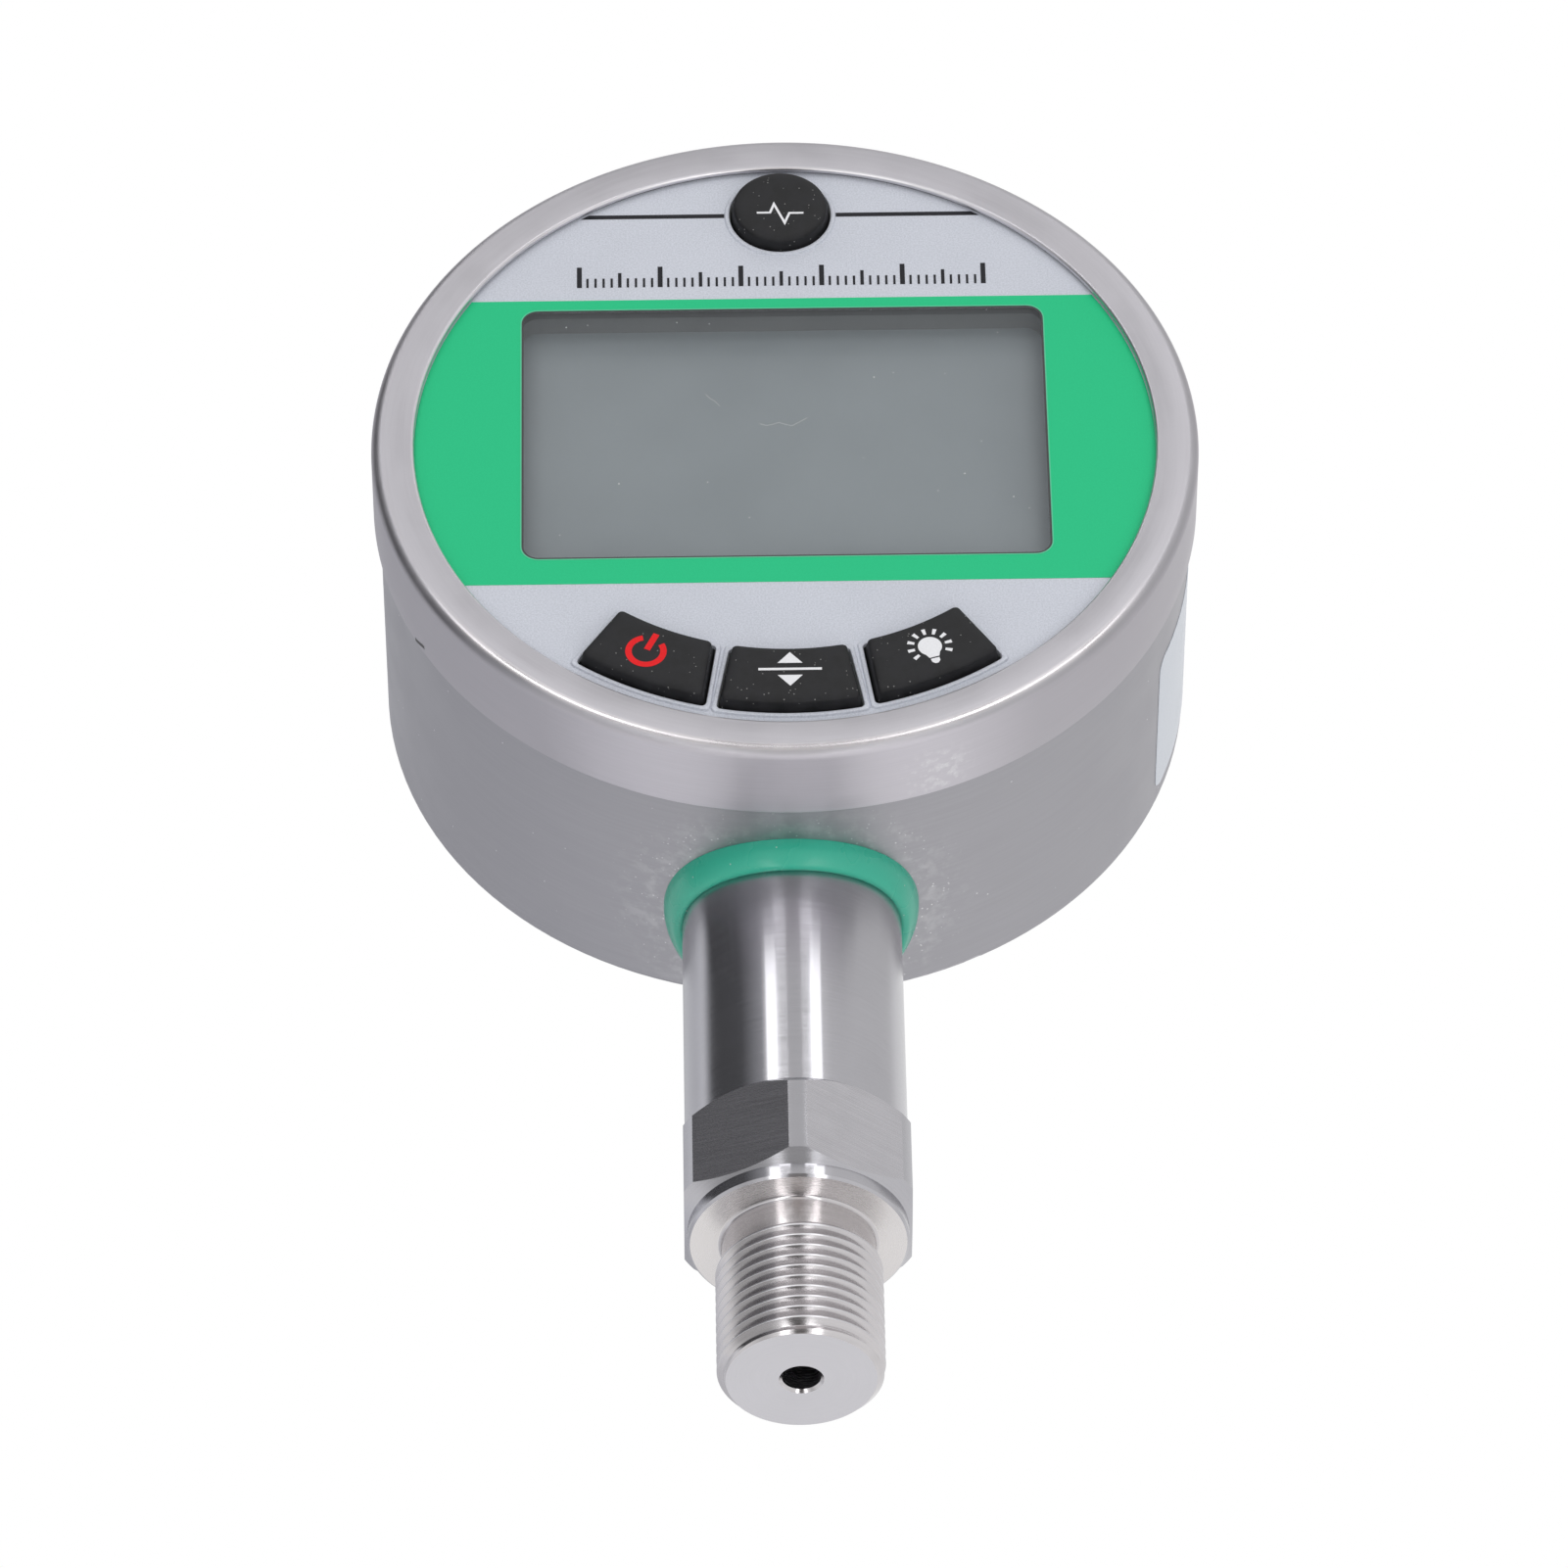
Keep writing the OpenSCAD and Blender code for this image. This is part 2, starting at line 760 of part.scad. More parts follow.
// Two leads from the board's socket to the tray, each with a step to one side
module battery_leads() {
    socket_y = board_back + socket_t - face_to_stem;
    straight = (tray_front - board_back - socket_t) / 2 - lead_bend_r;
    color([0.65, 0.1, 0.1]) for (i = [-1, 1])
        translate([battery_socket_x + i * lead_pitch / 2, socket_y,
            axis_height + battery_socket_up]) {
            rotate([-90, 0, 0]) cylinder(r = lead_r, h = straight);
            translate([-lead_bend_r, straight, 0]) lead_bend();
            translate([lead_bend_r - lead_shift, straight + lead_bend_r, 0]) rotate([0, 90, 0])
                cylinder(r = lead_r, h = lead_shift - 2 * lead_bend_r);
            translate([lead_bend_r - lead_shift, straight + 2 * lead_bend_r, 0])
                rotate([0, 0, 180]) lead_bend();
            translate([-lead_shift, straight + 2 * lead_bend_r, 0]) rotate([-90, 0, 0])
                cylinder(r = lead_r, h = straight);
        }
}
module lead_bend() {
    rotate_extrude(angle = 90) translate([lead_bend_r, 0]) circle(lead_r);
}

// Gasket, cover and screws of the battery tray, on the outside of the back
module battery_gasket() {
    color([0.1, 0.1, 0.11]) slab(case_depth, case_depth + cover_gasket_t)
        translate([0, tray_up]) difference() {
            round_rect(cover_w - 2 * cover_inset, cover_h - 2 * cover_inset,
                cover_corner_r - cover_inset);
            round_rect(tray_in_w + cover_inset, tray_in_h + cover_inset, tray_corner_r);
            translate([0, -tray_up]) at_cover_screws() circle(m3_r + loose_gap / 2);
        }
}
module battery_cover() {
    cover_front = case_depth + cover_gasket_t;
    color([0.2, 0.2, 0.21]) slab(cover_front, cover_front + cover_t) difference() {
        translate([0, tray_up]) round_rect(cover_w, cover_h, cover_corner_r);
        at_cover_screws() circle(m3_r + loose_gap / 2);
    }
}
module cover_screws() {
    color([0.75, 0.75, 0.77]) at_depth(case_depth + cover_gasket_t + cover_t)
        at_cover_screws() screw(m3_r, cover_screw_l);
}

// Section of the connection thread: a groove below each crest, with flat crests
module thread_section() {
    crest = crest_share * thread_pitch;
    points = concat(
        [[0, 0], [thread_r - end_chamfer, 0], [thread_r, end_chamfer]],
        [for (i = [0 : thread_turns - 1], p = [
            [thread_r, crest],
            [thread_root_r, thread_pitch / 2],
            [thread_root_r, thread_pitch / 2 + crest],
            [thread_r, thread_pitch]
        ]) [p[0], end_chamfer + i * thread_pitch + p[1]]],
        [[thread_r, thread_top - thread_run], [relief_r, thread_top], [0, thread_top]]);
    polygon(points);
}

// One-piece stem: thread, relief, shoulder, hexagon, plain neck and the pocket for the sensor
module stem() {
    corner_in = hex_corner_r - shoulder_r;
    color([0.72, 0.71, 0.72]) difference() {
        union() {
            rotate_extrude() thread_section();
            translate([0, 0, thread_top - merge])
                cylinder(r = relief_r, h = shoulder_z - thread_top + 2 * merge);
            rotate_extrude() translate([relief_r - merge, shoulder_z - relief_fillet])
                difference() {
                    square([relief_fillet + merge, relief_fillet + merge]);
                    translate([relief_fillet + merge, 0]) circle(relief_fillet);
                }
            intersection() {
                translate([0, 0, shoulder_z]) rotate([0, 0, 30])
                    cylinder(r = hex_r, h = hex_top - shoulder_z, $fn = 6);
                rotate_extrude() polygon([
                    [0, shoulder_z],
                    [shoulder_r, shoulder_z],
                    [hex_corner_r, shoulder_z + corner_in],
                    [hex_corner_r, hex_top - hex_corner_r + stem_r],
                    [stem_r, hex_top],
                    [0, hex_top]]);
            }
            translate([0, 0, hex_top - merge])
                cylinder(r = stem_r, h = stem_top - hex_top + merge);
        }
        translate([0, 0, -cut]) cylinder(r = port_r, h = pocket_floor + 2 * cut);
        rotate_extrude() polygon([[0, -port_chamfer], [port_r + 2 * port_chamfer, -port_chamfer],
            [port_r, port_chamfer], [0, port_chamfer]]);
        translate([0, 0, pocket_floor]) cylinder(r = pocket_r, h = pocket_l + cut);
        at_stem_screws() translate([0, 0, -stem_screw_l]) cylinder(r = m3_r, h = stem_screw_l + cut);
    }
}

module at_stem_screws() {
    for (angle = stem_screw_angles)
        translate([stem_screw_place_r * cos(angle), stem_screw_place_r * sin(angle), stem_top])
            children();
}

// A solid that fills the case out to a radius, for pieces that follow its wall
module case_round(r, back) {
    at_depth(back) cylinder(r = r, h = back - case_front);
}

// Rubber seal round the stem: a bead outside, a neck in the hole and a flange inside
module seal_ring() {
    inner_r = stem_r + fit_gap;
    bead_r = seal_r - inner_r;
    top = stem_top - loose_gap;
    color([0.24, 0.71, 0.57]) difference() {
        union() {
            difference() {
                rotate_extrude() {
                    translate([0, seal_bottom + bead_r])
                        square([seal_r, top - seal_bottom - bead_r]);
                    translate([inner_r, seal_bottom + bead_r]) circle(bead_r);
                }
                case_round(case_r + fit_gap, case_depth + seal_r);
            }
            intersection() {
                translate([0, 0, seal_bottom + bead_r])
                    cylinder(r = seal_neck_r, h = top - seal_bottom - bead_r);
                difference() {
                    case_round(case_r + fit_gap + merge, back_inner);
                    case_round(case_inner_r - seal_flange_t, back_inner);
                }
            }
            intersection() {
                translate([0, 0, seal_bottom + bead_r])
                    cylinder(r = seal_flange_r, h = top - seal_bottom - bead_r);
                difference() {
                    case_round(case_inner_r - fit_gap, back_inner);
                    case_round(case_inner_r - seal_flange_t, back_inner);
                }
            }
        }
        cylinder(r = inner_r, h = axis_height);
    }
}

// Pressure sensor, its ring and what holds it in the stem
module sensor_capsule() {
    groove_z = capsule_bottom + o_ring_up;
    color([0.7, 0.7, 0.72]) difference() {
        union() {
            translate([0, 0, pocket_floor]) cylinder(r = capsule_seat_r, h = capsule_under + merge);
            translate([0, 0, capsule_bottom])
                cylinder(r = capsule_r, h = capsule_top - capsule_bottom);
        }
        rotate_extrude() translate([pocket_r - 2 * o_ring_wire_r, groove_z - o_ring_groove_w / 2])
            square([2 * o_ring_wire_r, o_ring_groove_w]);
        translate([0, 0, pocket_floor - cut]) cylinder(r = port_r, h = capsule_under + cut);
    }
}
module sensor_o_ring() {
    color([0.1, 0.1, 0.11]) translate([0, 0, capsule_bottom + o_ring_up]) rotate_extrude()
        translate([pocket_r - o_ring_wire_r, 0]) circle(o_ring_wire_r - fit_gap / 2);
}
module sensor_retainer() {
    color([0.8, 0.7, 0.4]) translate([0, 0, capsule_top]) difference() {
        cylinder(r = capsule_r, h = retainer_t);
        translate([0, 0, -cut]) cylinder(r = retainer_in_r, h = retainer_t + 2 * cut);
    }
}

// Flat flex that rises from the sensor and turns forward to the board
module sensor_flex() {
    socket_y = board_back + socket_t - face_to_stem;
    color([0.75, 0.45, 0.15]) {
        translate([-flex_w / 2, -flex_t / 2, capsule_top])
            cube([flex_w, flex_t, flex_z - capsule_top]);
        translate([-flex_w / 2, socket_y, flex_z - flex_t])
            cube([flex_w, -socket_y + flex_t / 2, flex_t]);
    }
}

// Angle bracket: its plate sits on the stem and its leg on the back of the case
module stem_bracket() {
    color([0.7, 0.7, 0.72]) difference() {
        union() {
            translate([-bracket_half_w, -stem_r, stem_top])
                cube([2 * bracket_half_w, stem_r + bracket_back_y, bracket_t]);
            translate([-bracket_half_w, bracket_back_y - bracket_leg_t, stem_top])
                cube([2 * bracket_half_w, bracket_leg_t, bracket_leg_h]);
        }
        translate([0, 0, stem_top - cut]) cylinder(r = bracket_hole_r, h = bracket_t + 2 * cut);
        at_stem_screws() translate([0, 0, -cut])
            cylinder(r = m3_r + loose_gap / 2, h = bracket_t + 2 * cut);
        slab(back_inner - bracket_leg_t - cut, back_inner + cut) at_bracket_screws() circle(m4_r);
    }
}
module stem_screws() {
    color([0.75, 0.75, 0.77]) at_stem_screws() translate([0, 0, bracket_t]) mirror([0, 0, 1])
        screw(m3_r, bracket_t + stem_screw_l - loose_gap);
}
module bracket_screws() {
    color([0.75, 0.75, 0.77]) at_depth(case_depth) at_bracket_screws()
        screw(m4_r, bracket_screw_l);
}

// Blank label on the right side of the case
module side_label() {
    color([0.86, 0.88, 0.9]) at_depth(side_label_from + side_label_l)
        rotate([0, 0, -side_label_half_angle])
            rotate_extrude(angle = 2 * side_label_half_angle)
                translate([case_r, 0]) square([side_label_t, side_label_l]);
}

bezel_ring();
lip_gasket();
face_label();
band_print();
line_print();
window();
front_panel();
key_mat();
peak_button();
power_button();
unit_button();
light_button();
peak_plunger();
power_plunger();
unit_plunger();
light_plunger();
lcd_glass();
lcd_frame();
contact_strips();
backlight();
main_board();
switch_housings();
board_chips();
board_sockets();
board_screws();
case_shell();
battery_tray();
battery_cells();
battery_contacts();
battery_leads();
battery_gasket();
battery_cover();
cover_screws();
stem();
seal_ring();
sensor_capsule();
sensor_o_ring();
sensor_retainer();
sensor_flex();
stem_bracket();
stem_screws();
bracket_screws();
side_label();
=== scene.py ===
"""Looks of a digital pressure gauge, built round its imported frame. Sizes are in millimetres."""
import math

import bmesh
import bpy
from mathutils import Matrix, Vector


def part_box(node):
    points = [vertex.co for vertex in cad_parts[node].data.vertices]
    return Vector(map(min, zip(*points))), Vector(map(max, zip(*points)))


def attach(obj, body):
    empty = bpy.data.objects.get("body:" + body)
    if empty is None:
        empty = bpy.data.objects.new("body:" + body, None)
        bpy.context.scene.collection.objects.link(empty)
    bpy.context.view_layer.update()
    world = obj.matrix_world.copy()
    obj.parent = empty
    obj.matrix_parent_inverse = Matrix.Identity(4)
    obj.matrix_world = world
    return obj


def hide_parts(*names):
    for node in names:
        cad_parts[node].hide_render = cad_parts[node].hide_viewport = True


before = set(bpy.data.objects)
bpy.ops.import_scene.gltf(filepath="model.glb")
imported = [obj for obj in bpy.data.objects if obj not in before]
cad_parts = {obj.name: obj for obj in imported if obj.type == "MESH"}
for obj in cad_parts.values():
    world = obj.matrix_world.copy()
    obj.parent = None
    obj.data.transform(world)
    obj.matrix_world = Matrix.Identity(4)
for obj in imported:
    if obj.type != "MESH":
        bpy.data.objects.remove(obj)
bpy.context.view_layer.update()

MM = 0.001


# Places in the frame

def box_mm(node):
    """Lowest and highest corner of a CAD node in millimetres."""
    return [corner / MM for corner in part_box(node)]


LABEL_BACK = 1.5
LABEL_T = 0.3
LABEL_FRONT = LABEL_BACK - LABEL_T
LIP_R = 45.25
BEZEL_CORNER_R = 1.4
bezel_low, bezel_high = box_mm("bezel_ring")
label_high = box_mm("face_label")[1]
window_low, window_high = box_mm("window")
stem_high = box_mm("stem")[1]
seal_low = box_mm("seal_ring")[0]
cover_low, cover_high = box_mm("battery_cover")
AXIS_Z = (bezel_low.z + bezel_high.z) / 2
FACE_Y = label_high.y - LABEL_BACK
DIAL_CENTRE = (0, FACE_Y, AXIS_Z)
BEZEL_R = bezel_high.x
CORNER_FROM_R = BEZEL_R - BEZEL_CORNER_R
CASE_R = box_mm("case_shell")[1].x
LABEL_R = label_high.x


def dial(x, up, depth):
    """A point of the dial, x to the right and up from the case axis, behind the bezel face."""
    return Vector((x, FACE_Y + depth, AXIS_Z + up))


# Outlines

def cosine(degrees):
    return math.cos(math.radians(degrees))


def sine(degrees):
    return math.sin(math.radians(degrees))


def arc(cx, cy, radius, start, end, count):
    """Points along an arc, angles in degrees."""
    angles = [start + (end - start) * i / (count - 1) for i in range(count)]
    return [(cx + radius * cosine(a), cy + radius * sine(a)) for a in angles]


def circle(cx, cy, radius, count):
    return arc(cx, cy, radius, 0, 360, count + 1)[:-1]


def round_rect(half_w, half_h, radius, count):
    """A rectangle with round corners, round its own middle."""
    outline = []
    for sx, sy, start in ((1, 1, 0), (-1, 1, 90), (-1, -1, 180), (1, -1, 270)):
        outline += arc(sx * (half_w - radius), sy * (half_h - radius), radius,
                       start, start + 90, count)
    return outline


def ribbon(path, width):
    """The outline of a stroke along an open path."""
    left, right = [], []
    for i, point in enumerate(path):
        here = Vector(point)
        before = (here - Vector(path[i - 1])).normalized() if i else None
        after = (Vector(path[i + 1]) - here).normalized() if i + 1 < len(path) else None
        along = ((before or after) + (after or before)).normalized()
        across = Vector((-along.y, along.x)) * width / 2 / max(0.3, along.dot(after or before))
        left.append(here + across)
        right.append(here - across)
    return [tuple(p) for p in right + left[::-1]]


# Solids, each a list of points and a list of faces

def skin(rings, closed=False):
    """The surface through rings of points that hold the same count."""
    count = len(rings[0])
    faces = []
    for i in range(len(rings) if closed else len(rings) - 1):
        a = i * count
        b = (i + 1) % len(rings) * count
        for j in range(count):
            k = (j + 1) % count
            faces.append((a + j, a + k, b + k, b + j))
    return [p for ring in rings for p in ring], faces


def loft(rings, cap_start=True):
    """A solid through rings of points, with flat caps."""
    points, faces = skin(rings)
    count = len(rings[0])
    if cap_start:
        faces.append(tuple(reversed(range(count))))
    faces.append(tuple(range(len(points) - count, len(points))))
    return points, faces


def merged(solids):
    """Several solids as one."""
    points, faces = [], []
    for more_points, more_faces in solids:
        start = len(points)
        points += more_points
        faces += [tuple(start + i for i in face) for face in more_faces]
    return points, faces


def plate(outline, front, back):
    """A flat solid of the dial with this outline of x and up, between two depths."""
    return loft([[dial(x, up, depth) for x, up in outline] for depth in (back, front)])


def plates(outlines, front, back):
    return merged(plate(outline, front, back) for outline in outlines)


def dial_rings(outline, steps):
    """Rings round an outline of the dial, from how far it grows and how deep it lies."""
    return [[dial(x, up, depth) for x, up in outline(grow)] for grow, depth in steps]


# Objects

def placed(name, data):
    """A new object in the scene."""
    made = bpy.data.objects.new(name, data)
    bpy.context.scene.collection.objects.link(made)
    return made


def plain_mesh(name, points, faces):
    mesh = bpy.data.meshes.new(name)
    mesh.from_pydata(points, [], faces)
    return mesh


def outward_mesh(name, points, faces, weld=0.0):
    """A mesh whose faces point outwards, with points closer than weld made one."""
    mesh = plain_mesh(name, points, faces)
    shape = bmesh.new()
    shape.from_mesh(mesh)
    if weld:
        bmesh.ops.remove_doubles(shape, verts=shape.verts, dist=weld)
        bmesh.ops.dissolve_degenerate(shape, edges=shape.edges, dist=weld)
    bmesh.ops.recalc_face_normals(shape, faces=shape.faces)
    shape.to_mesh(mesh)
    shape.free()
    return mesh


def evaluated(made):
    """The solid that an object's curve or modifiers come to."""
    bpy.context.view_layer.update()
    mesh = bpy.data.meshes.new_from_object(
        made.evaluated_get(bpy.context.evaluated_depsgraph_get()))
    solid = [tuple(v.co) for v in mesh.vertices], [tuple(p.vertices) for p in mesh.polygons]
    bpy.data.meshes.remove(mesh)
    return solid


WELD = 1e-4 * MM


def piece(name, solid, look, body="gauge_body", replaced=None, smooth_angle=30):
    """A new mesh object that rides on a body, and may stand for a CAD node."""
    points, faces = solid
    mesh = outward_mesh(name, [Vector(p) * MM for p in points], faces, WELD)
    mesh.materials.append(LOOKS[look].material)
    mesh.polygons.foreach_set("use_smooth", [True] * len(mesh.polygons))
    mesh.set_sharp_from_angle(angle=math.radians(smooth_angle))
    made = placed(name, mesh)
    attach(made, body)
    if replaced:
        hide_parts(replaced)
    return made


# Outlines of the keys, as in the frame's own source

ROUND_KEY_R = 6.05
ROUND_KEY_UP = 38.15
ARC_OUTER_R = 43.15
ARC_INNER_R = 34.2
UNIT_SIDE = (11.5, 10.4)
SIDE_FROM = (13.9, 8.4)
SIDE_TO = (35.9, 34.5)
KEY_CORNER_R = 0.6
CORNER_STEPS = 6
ARC_STEPS = 24


def side_point(side, right, grow, radius, inset):
    """Where a key's side line, moved out by grow and in by inset, meets a circle."""
    angle, tilt = side
    inward = Vector((cosine(tilt), sine(tilt))) * (-1 if right else 1)
    start = Vector((ARC_OUTER_R * sine(angle), -ARC_OUTER_R * cosine(angle)))
    reach = start.dot(inward) + inset - grow
    along = Vector((-inward.y, inward.x))
    half = math.sqrt(radius * radius - reach * reach)
    return min((inward * reach + along * s * half for s in (-1, 1)), key=lambda p: p.y), inward


def arc_key_outline(left, right, grow, corner=KEY_CORNER_R):
    """Outline of a curved key between two side lines, with round corners."""
    outer, inner = ARC_OUTER_R + grow, ARC_INNER_R - grow
    outline = []
    corners = [(left, False, outer, -1), (right, True, outer, -1),
               (right, True, inner, 1), (left, False, inner, 1)]
    for number, (side, is_right, radius, sense) in enumerate(corners):
        centre, inward = side_point(side, is_right, grow, radius + sense * corner, corner)
        on_arc = centre.normalized() * radius
        on_line = centre - inward * corner
        arc_follows = number in (0, 2)
        ends = (on_line, on_arc) if arc_follows else (on_arc, on_line)
        start, end = (math.atan2(p.y - centre.y, p.x - centre.x) for p in ends)
        turn = (end - start + math.pi) % (2 * math.pi) - math.pi
        outline += arc(centre.x, centre.y, corner, math.degrees(start),
                       math.degrees(start + turn), CORNER_STEPS + 1)
        if arc_follows:
            next_side, next_right, _, _ = corners[number + 1]
            far, _ = side_point(next_side, next_right, grow, radius + sense * corner, corner)
            a, b = (math.degrees(math.atan2(p.y, p.x)) for p in (on_arc, far))
            outline += arc(0, 0, radius, a, b, ARC_STEPS + 1)[1:-1]
    return outline


def peak_outline(grow):
    return circle(0, ROUND_KEY_UP, ROUND_KEY_R + grow, 128)


def unit_outline(grow):
    angle, tilt = UNIT_SIDE
    return arc_key_outline((-angle, -tilt), (angle, tilt), grow)


def light_outline(grow):
    return arc_key_outline(SIDE_FROM, SIDE_TO, grow)


def power_outline(grow):
    return [(-x, up) for x, up in reversed(light_outline(grow))]


KEYS = {"peak": peak_outline, "power": power_outline, "unit": unit_outline,
        "light": light_outline}


# Materials, all made of nodes

class Nodes:
    """A node tree, with short ways to add to it."""

    def __init__(self, owner):
        owner.use_nodes = True
        self.tree = owner.node_tree
        self.tree.nodes.clear()

    def add(self, kind, *inputs, **values):
        """A node. Its first inputs are given in order, and its settings and other inputs by
        name, with _ for a space."""
        made = self.tree.nodes.new(f"ShaderNode{kind}")
        named = {key: value for key, value in values.items() if not hasattr(made, key)}
        for key, value in values.items():
            if key not in named:
                setattr(made, key, value)
        for socket, value in zip(made.inputs, inputs):
            self.put(socket, value)
        for key, value in named.items():
            self.put(made.inputs[key.replace("_", " ")], value)
        return made

    def put(self, socket, value):
        """Links a socket, or sets its number, vector or colour."""
        if isinstance(value, bpy.types.NodeSocket):
            self.tree.links.new(value, socket)
        else:
            socket.default_value = (*value, 1.0) if socket.type == "RGBA" else value

    def math(self, operation, a, b=0.0, **settings):
        return self.add("Math", a, b, operation=operation, **settings).outputs[0]

    def product(self, first, *others):
        for value in others:
            first = self.math("MULTIPLY", first, value)
        return first

    def vector(self, operation, *inputs, **values):
        """Vector arithmetic, whose result is a number for a length or distance."""
        made = self.add("VectorMath", *inputs, operation=operation, **values)
        return made.outputs["Value" if operation in ("LENGTH", "DISTANCE") else "Vector"]

    def spread(self, value, low, high, start=0.3, end=0.7):
        """A value mapped from start..end, by default the range of noise, to low..high."""
        return self.add("MapRange", Value=value, From_Min=start, From_Max=end, To_Min=low,
                        To_Max=high, interpolation_type="SMOOTHSTEP").outputs[0]


LOOKS = {}


class Look(Nodes):
    """A material of the object, kept in LOOKS by its name."""

    def __init__(self, name, **values):
        self.material = bpy.data.materials.new(name)
        super().__init__(self.material)
        self.shader = self.add("BsdfPrincipled", **values)
        self.add("OutputMaterial", Surface=self.shader.outputs[0])
        LOOKS[name] = self

    def set(self, **values):
        for key, value in values.items():
            self.put(self.shader.inputs[key.replace("_", " ")], value)

    def source(self, name):
        """What is linked to an input of the shader."""
        return self.shader.inputs[name].links[0].from_socket

    def finish(self, share, low, high, rough, height, depth):
        """A colour between two, a roughness, and a relief of this depth in millimetres."""
        self.set(Base_Color=self.mix(share, low, high), Roughness=rough)
        bump = self.add("Bump", Height=height, Distance=depth * MM, Strength=1.0)
        self.set(Normal=bump.outputs[0])

    def place(self, centre=(0, 0, 0)):
        """Position in millimetres from a centre."""
        spot = self.add("TexCoord").outputs["Object"]
        return self.vector("SUBTRACT", self.vector("SCALE", spot, Scale=1 / MM), centre)

    def split(self, vector):
        return self.add("SeparateXYZ", vector).outputs

    def joined(self, x, y, z):
        return self.add("CombineXYZ", x, y, z).outputs[0]

    def noise(self, vector, scale, detail=3.0, rough=0.5):
        return self.add("TexNoise", Vector=vector, Scale=scale, Detail=detail,
                        Roughness=rough).outputs[0]

    def around(self, vector, axis):
        """Distance from an axis, direction round it and place along it."""
        x, y, z = self.split(vector)
        u, v, along = (x, z, y) if axis == "Y" else (x, y, z)
        flat = self.joined(u, v, 0.0)
        return self.vector("LENGTH", flat), self.vector("NORMALIZE", flat), along

    def turned(self, vector, axis, round_it, along_it, out_from_it):
        """Noise drawn out round an axis, as a lathe or a brush leaves it."""
        radius, direction, along = self.around(vector, axis)
        du, dv, _ = self.split(direction)
        spot = self.joined(self.product(du, round_it), self.product(dv, round_it),
                           self.product(along, along_it))
        return self.add("TexNoise", noise_dimensions="4D", Vector=spot, Detail=3.0, Scale=1.0,
                        W=self.product(radius, out_from_it)).outputs[0]

    def mix(self, share, first, second, kind="MIX"):
        """Two colours mixed by a share."""
        made = self.add("Mix", data_type="RGBA", blend_type=kind, Factor=share)
        sockets = [s for s in made.inputs if s.type == "RGBA"]
        for socket, value in zip(sockets, (first, second)):
            self.put(socket, value)
        return next(s for s in made.outputs if s.type == "RGBA")

    def specks(self, vector, per_mm, size):
        """1 inside small scattered dots and 0 outside, and a number of each dot's own."""
        cells = self.add("TexVoronoi", Vector=vector, Scale=per_mm, Randomness=1.0).outputs
        return self.math("LESS_THAN", cells["Distance"], size), self.split(cells["Color"])[0]

    def some_specks(self, vector, per_mm, size, above):
        """Dots whose own number lies above this."""
        near, number = self.specks(vector, per_mm, size)
        return self.product(near, self.math("GREATER_THAN", number, above))

    def sprinkle(self, *shares):
        """Pale dust over the material's own colour, as thick as the shares' product."""
        colour = self.mix(self.product(*shares), self.source("Base Color"), DUST_COLOUR)
        self.set(Base_Color=colour)


DUST_COLOUR = (0.75, 0.75, 0.76)
SKIRT_DUST = (17.5, 7.5, -47.4)
# Heights where the painted highlight on the bezel's lower corner and the painted reflection low
# on the skirt fade out
LOW_CORNER_HIGHLIGHT_FADE = (-36.0, -20.0)
SKIRT_REFLECTION_FADE = (-49.0, -40.0)
QUARTER_TURN = 0.25
PRINT_SPECULAR = 0.12


def shades(colour, tone):
    """A colour darker and brighter by a share of itself."""
    return [tuple(min(1.0, c * (1 + change)) for c in colour) for change in (-tone, tone)]


def steel(name, axis, colour, rough, anisotropic, marks, tone=0.05, smudge=0.03,
          depth=0.0006, centre=(0, 0, 0)):
    """Stainless steel with fine marks round an axis, which draw its glints out across them.

    marks holds how fast the marks change round the axis, along it and outward."""
    look = Look(name, Metallic=1.0, Anisotropic=anisotropic, Anisotropic_Rotation=QUARTER_TURN)
    spot = look.place(centre)
    fine = look.turned(spot, axis, *marks)
    cloud = look.noise(spot, 0.12)
    share = look.math("ADD", look.spread(fine, 0.25, 0.75), look.spread(cloud, -0.25, 0.25))
    varied = look.math("ADD", look.spread(cloud, -smudge, smudge),
                       look.spread(fine, -0.02, 0.02))
    look.finish(share, *shades(colour, tone), look.math("ADD", varied, rough), fine, depth)
    look.set(Tangent=look.vector("CROSS_PRODUCT", spot, (0, 1, 0) if axis == "Y" else (0, 0, 1)))
    return look


def plain(name, colour, rough, grain=3.0, depth=0.01, tone=0.08, metallic=0.0, smudge=0.06):
    """Moulded plastic, rubber or a small metal part with a fine grain."""
    look = Look(name, Metallic=metallic)
    spot = look.place()
    fine = look.noise(spot, grain)
    cloud = look.noise(spot, 0.15)
    share = look.math("ADD", look.spread(fine, 0.3, 0.7), look.spread(cloud, -0.2, 0.2))
    look.finish(share, *shades(colour, tone), look.spread(cloud, rough - smudge, rough + smudge),
                fine, depth)
    return look


def milled(name, colour, rough):
    """Milled flats, with faint slanted marks of the cutter."""
    look = Look(name, Metallic=1.0)
    spot = look.place()
    x, y, z = look.split(spot)
    slanted = look.math("SUBTRACT", z, look.product(x, -0.2))
    across = look.joined(look.product(x, 0.12), look.product(y, 0.12), look.product(slanted, 8.0))
    lines = look.noise(across, 1.0, 3.0, 0.6)
    cloud = look.noise(spot, 0.25, 2.0)
    share = look.math("ADD", look.spread(lines, 0.0, 1.0), look.spread(cloud, -0.2, 0.2))
    look.finish(share, *shades(colour, 0.05), look.spread(lines, rough - 0.02, rough + 0.02),
                lines, 0.0004)
    return look


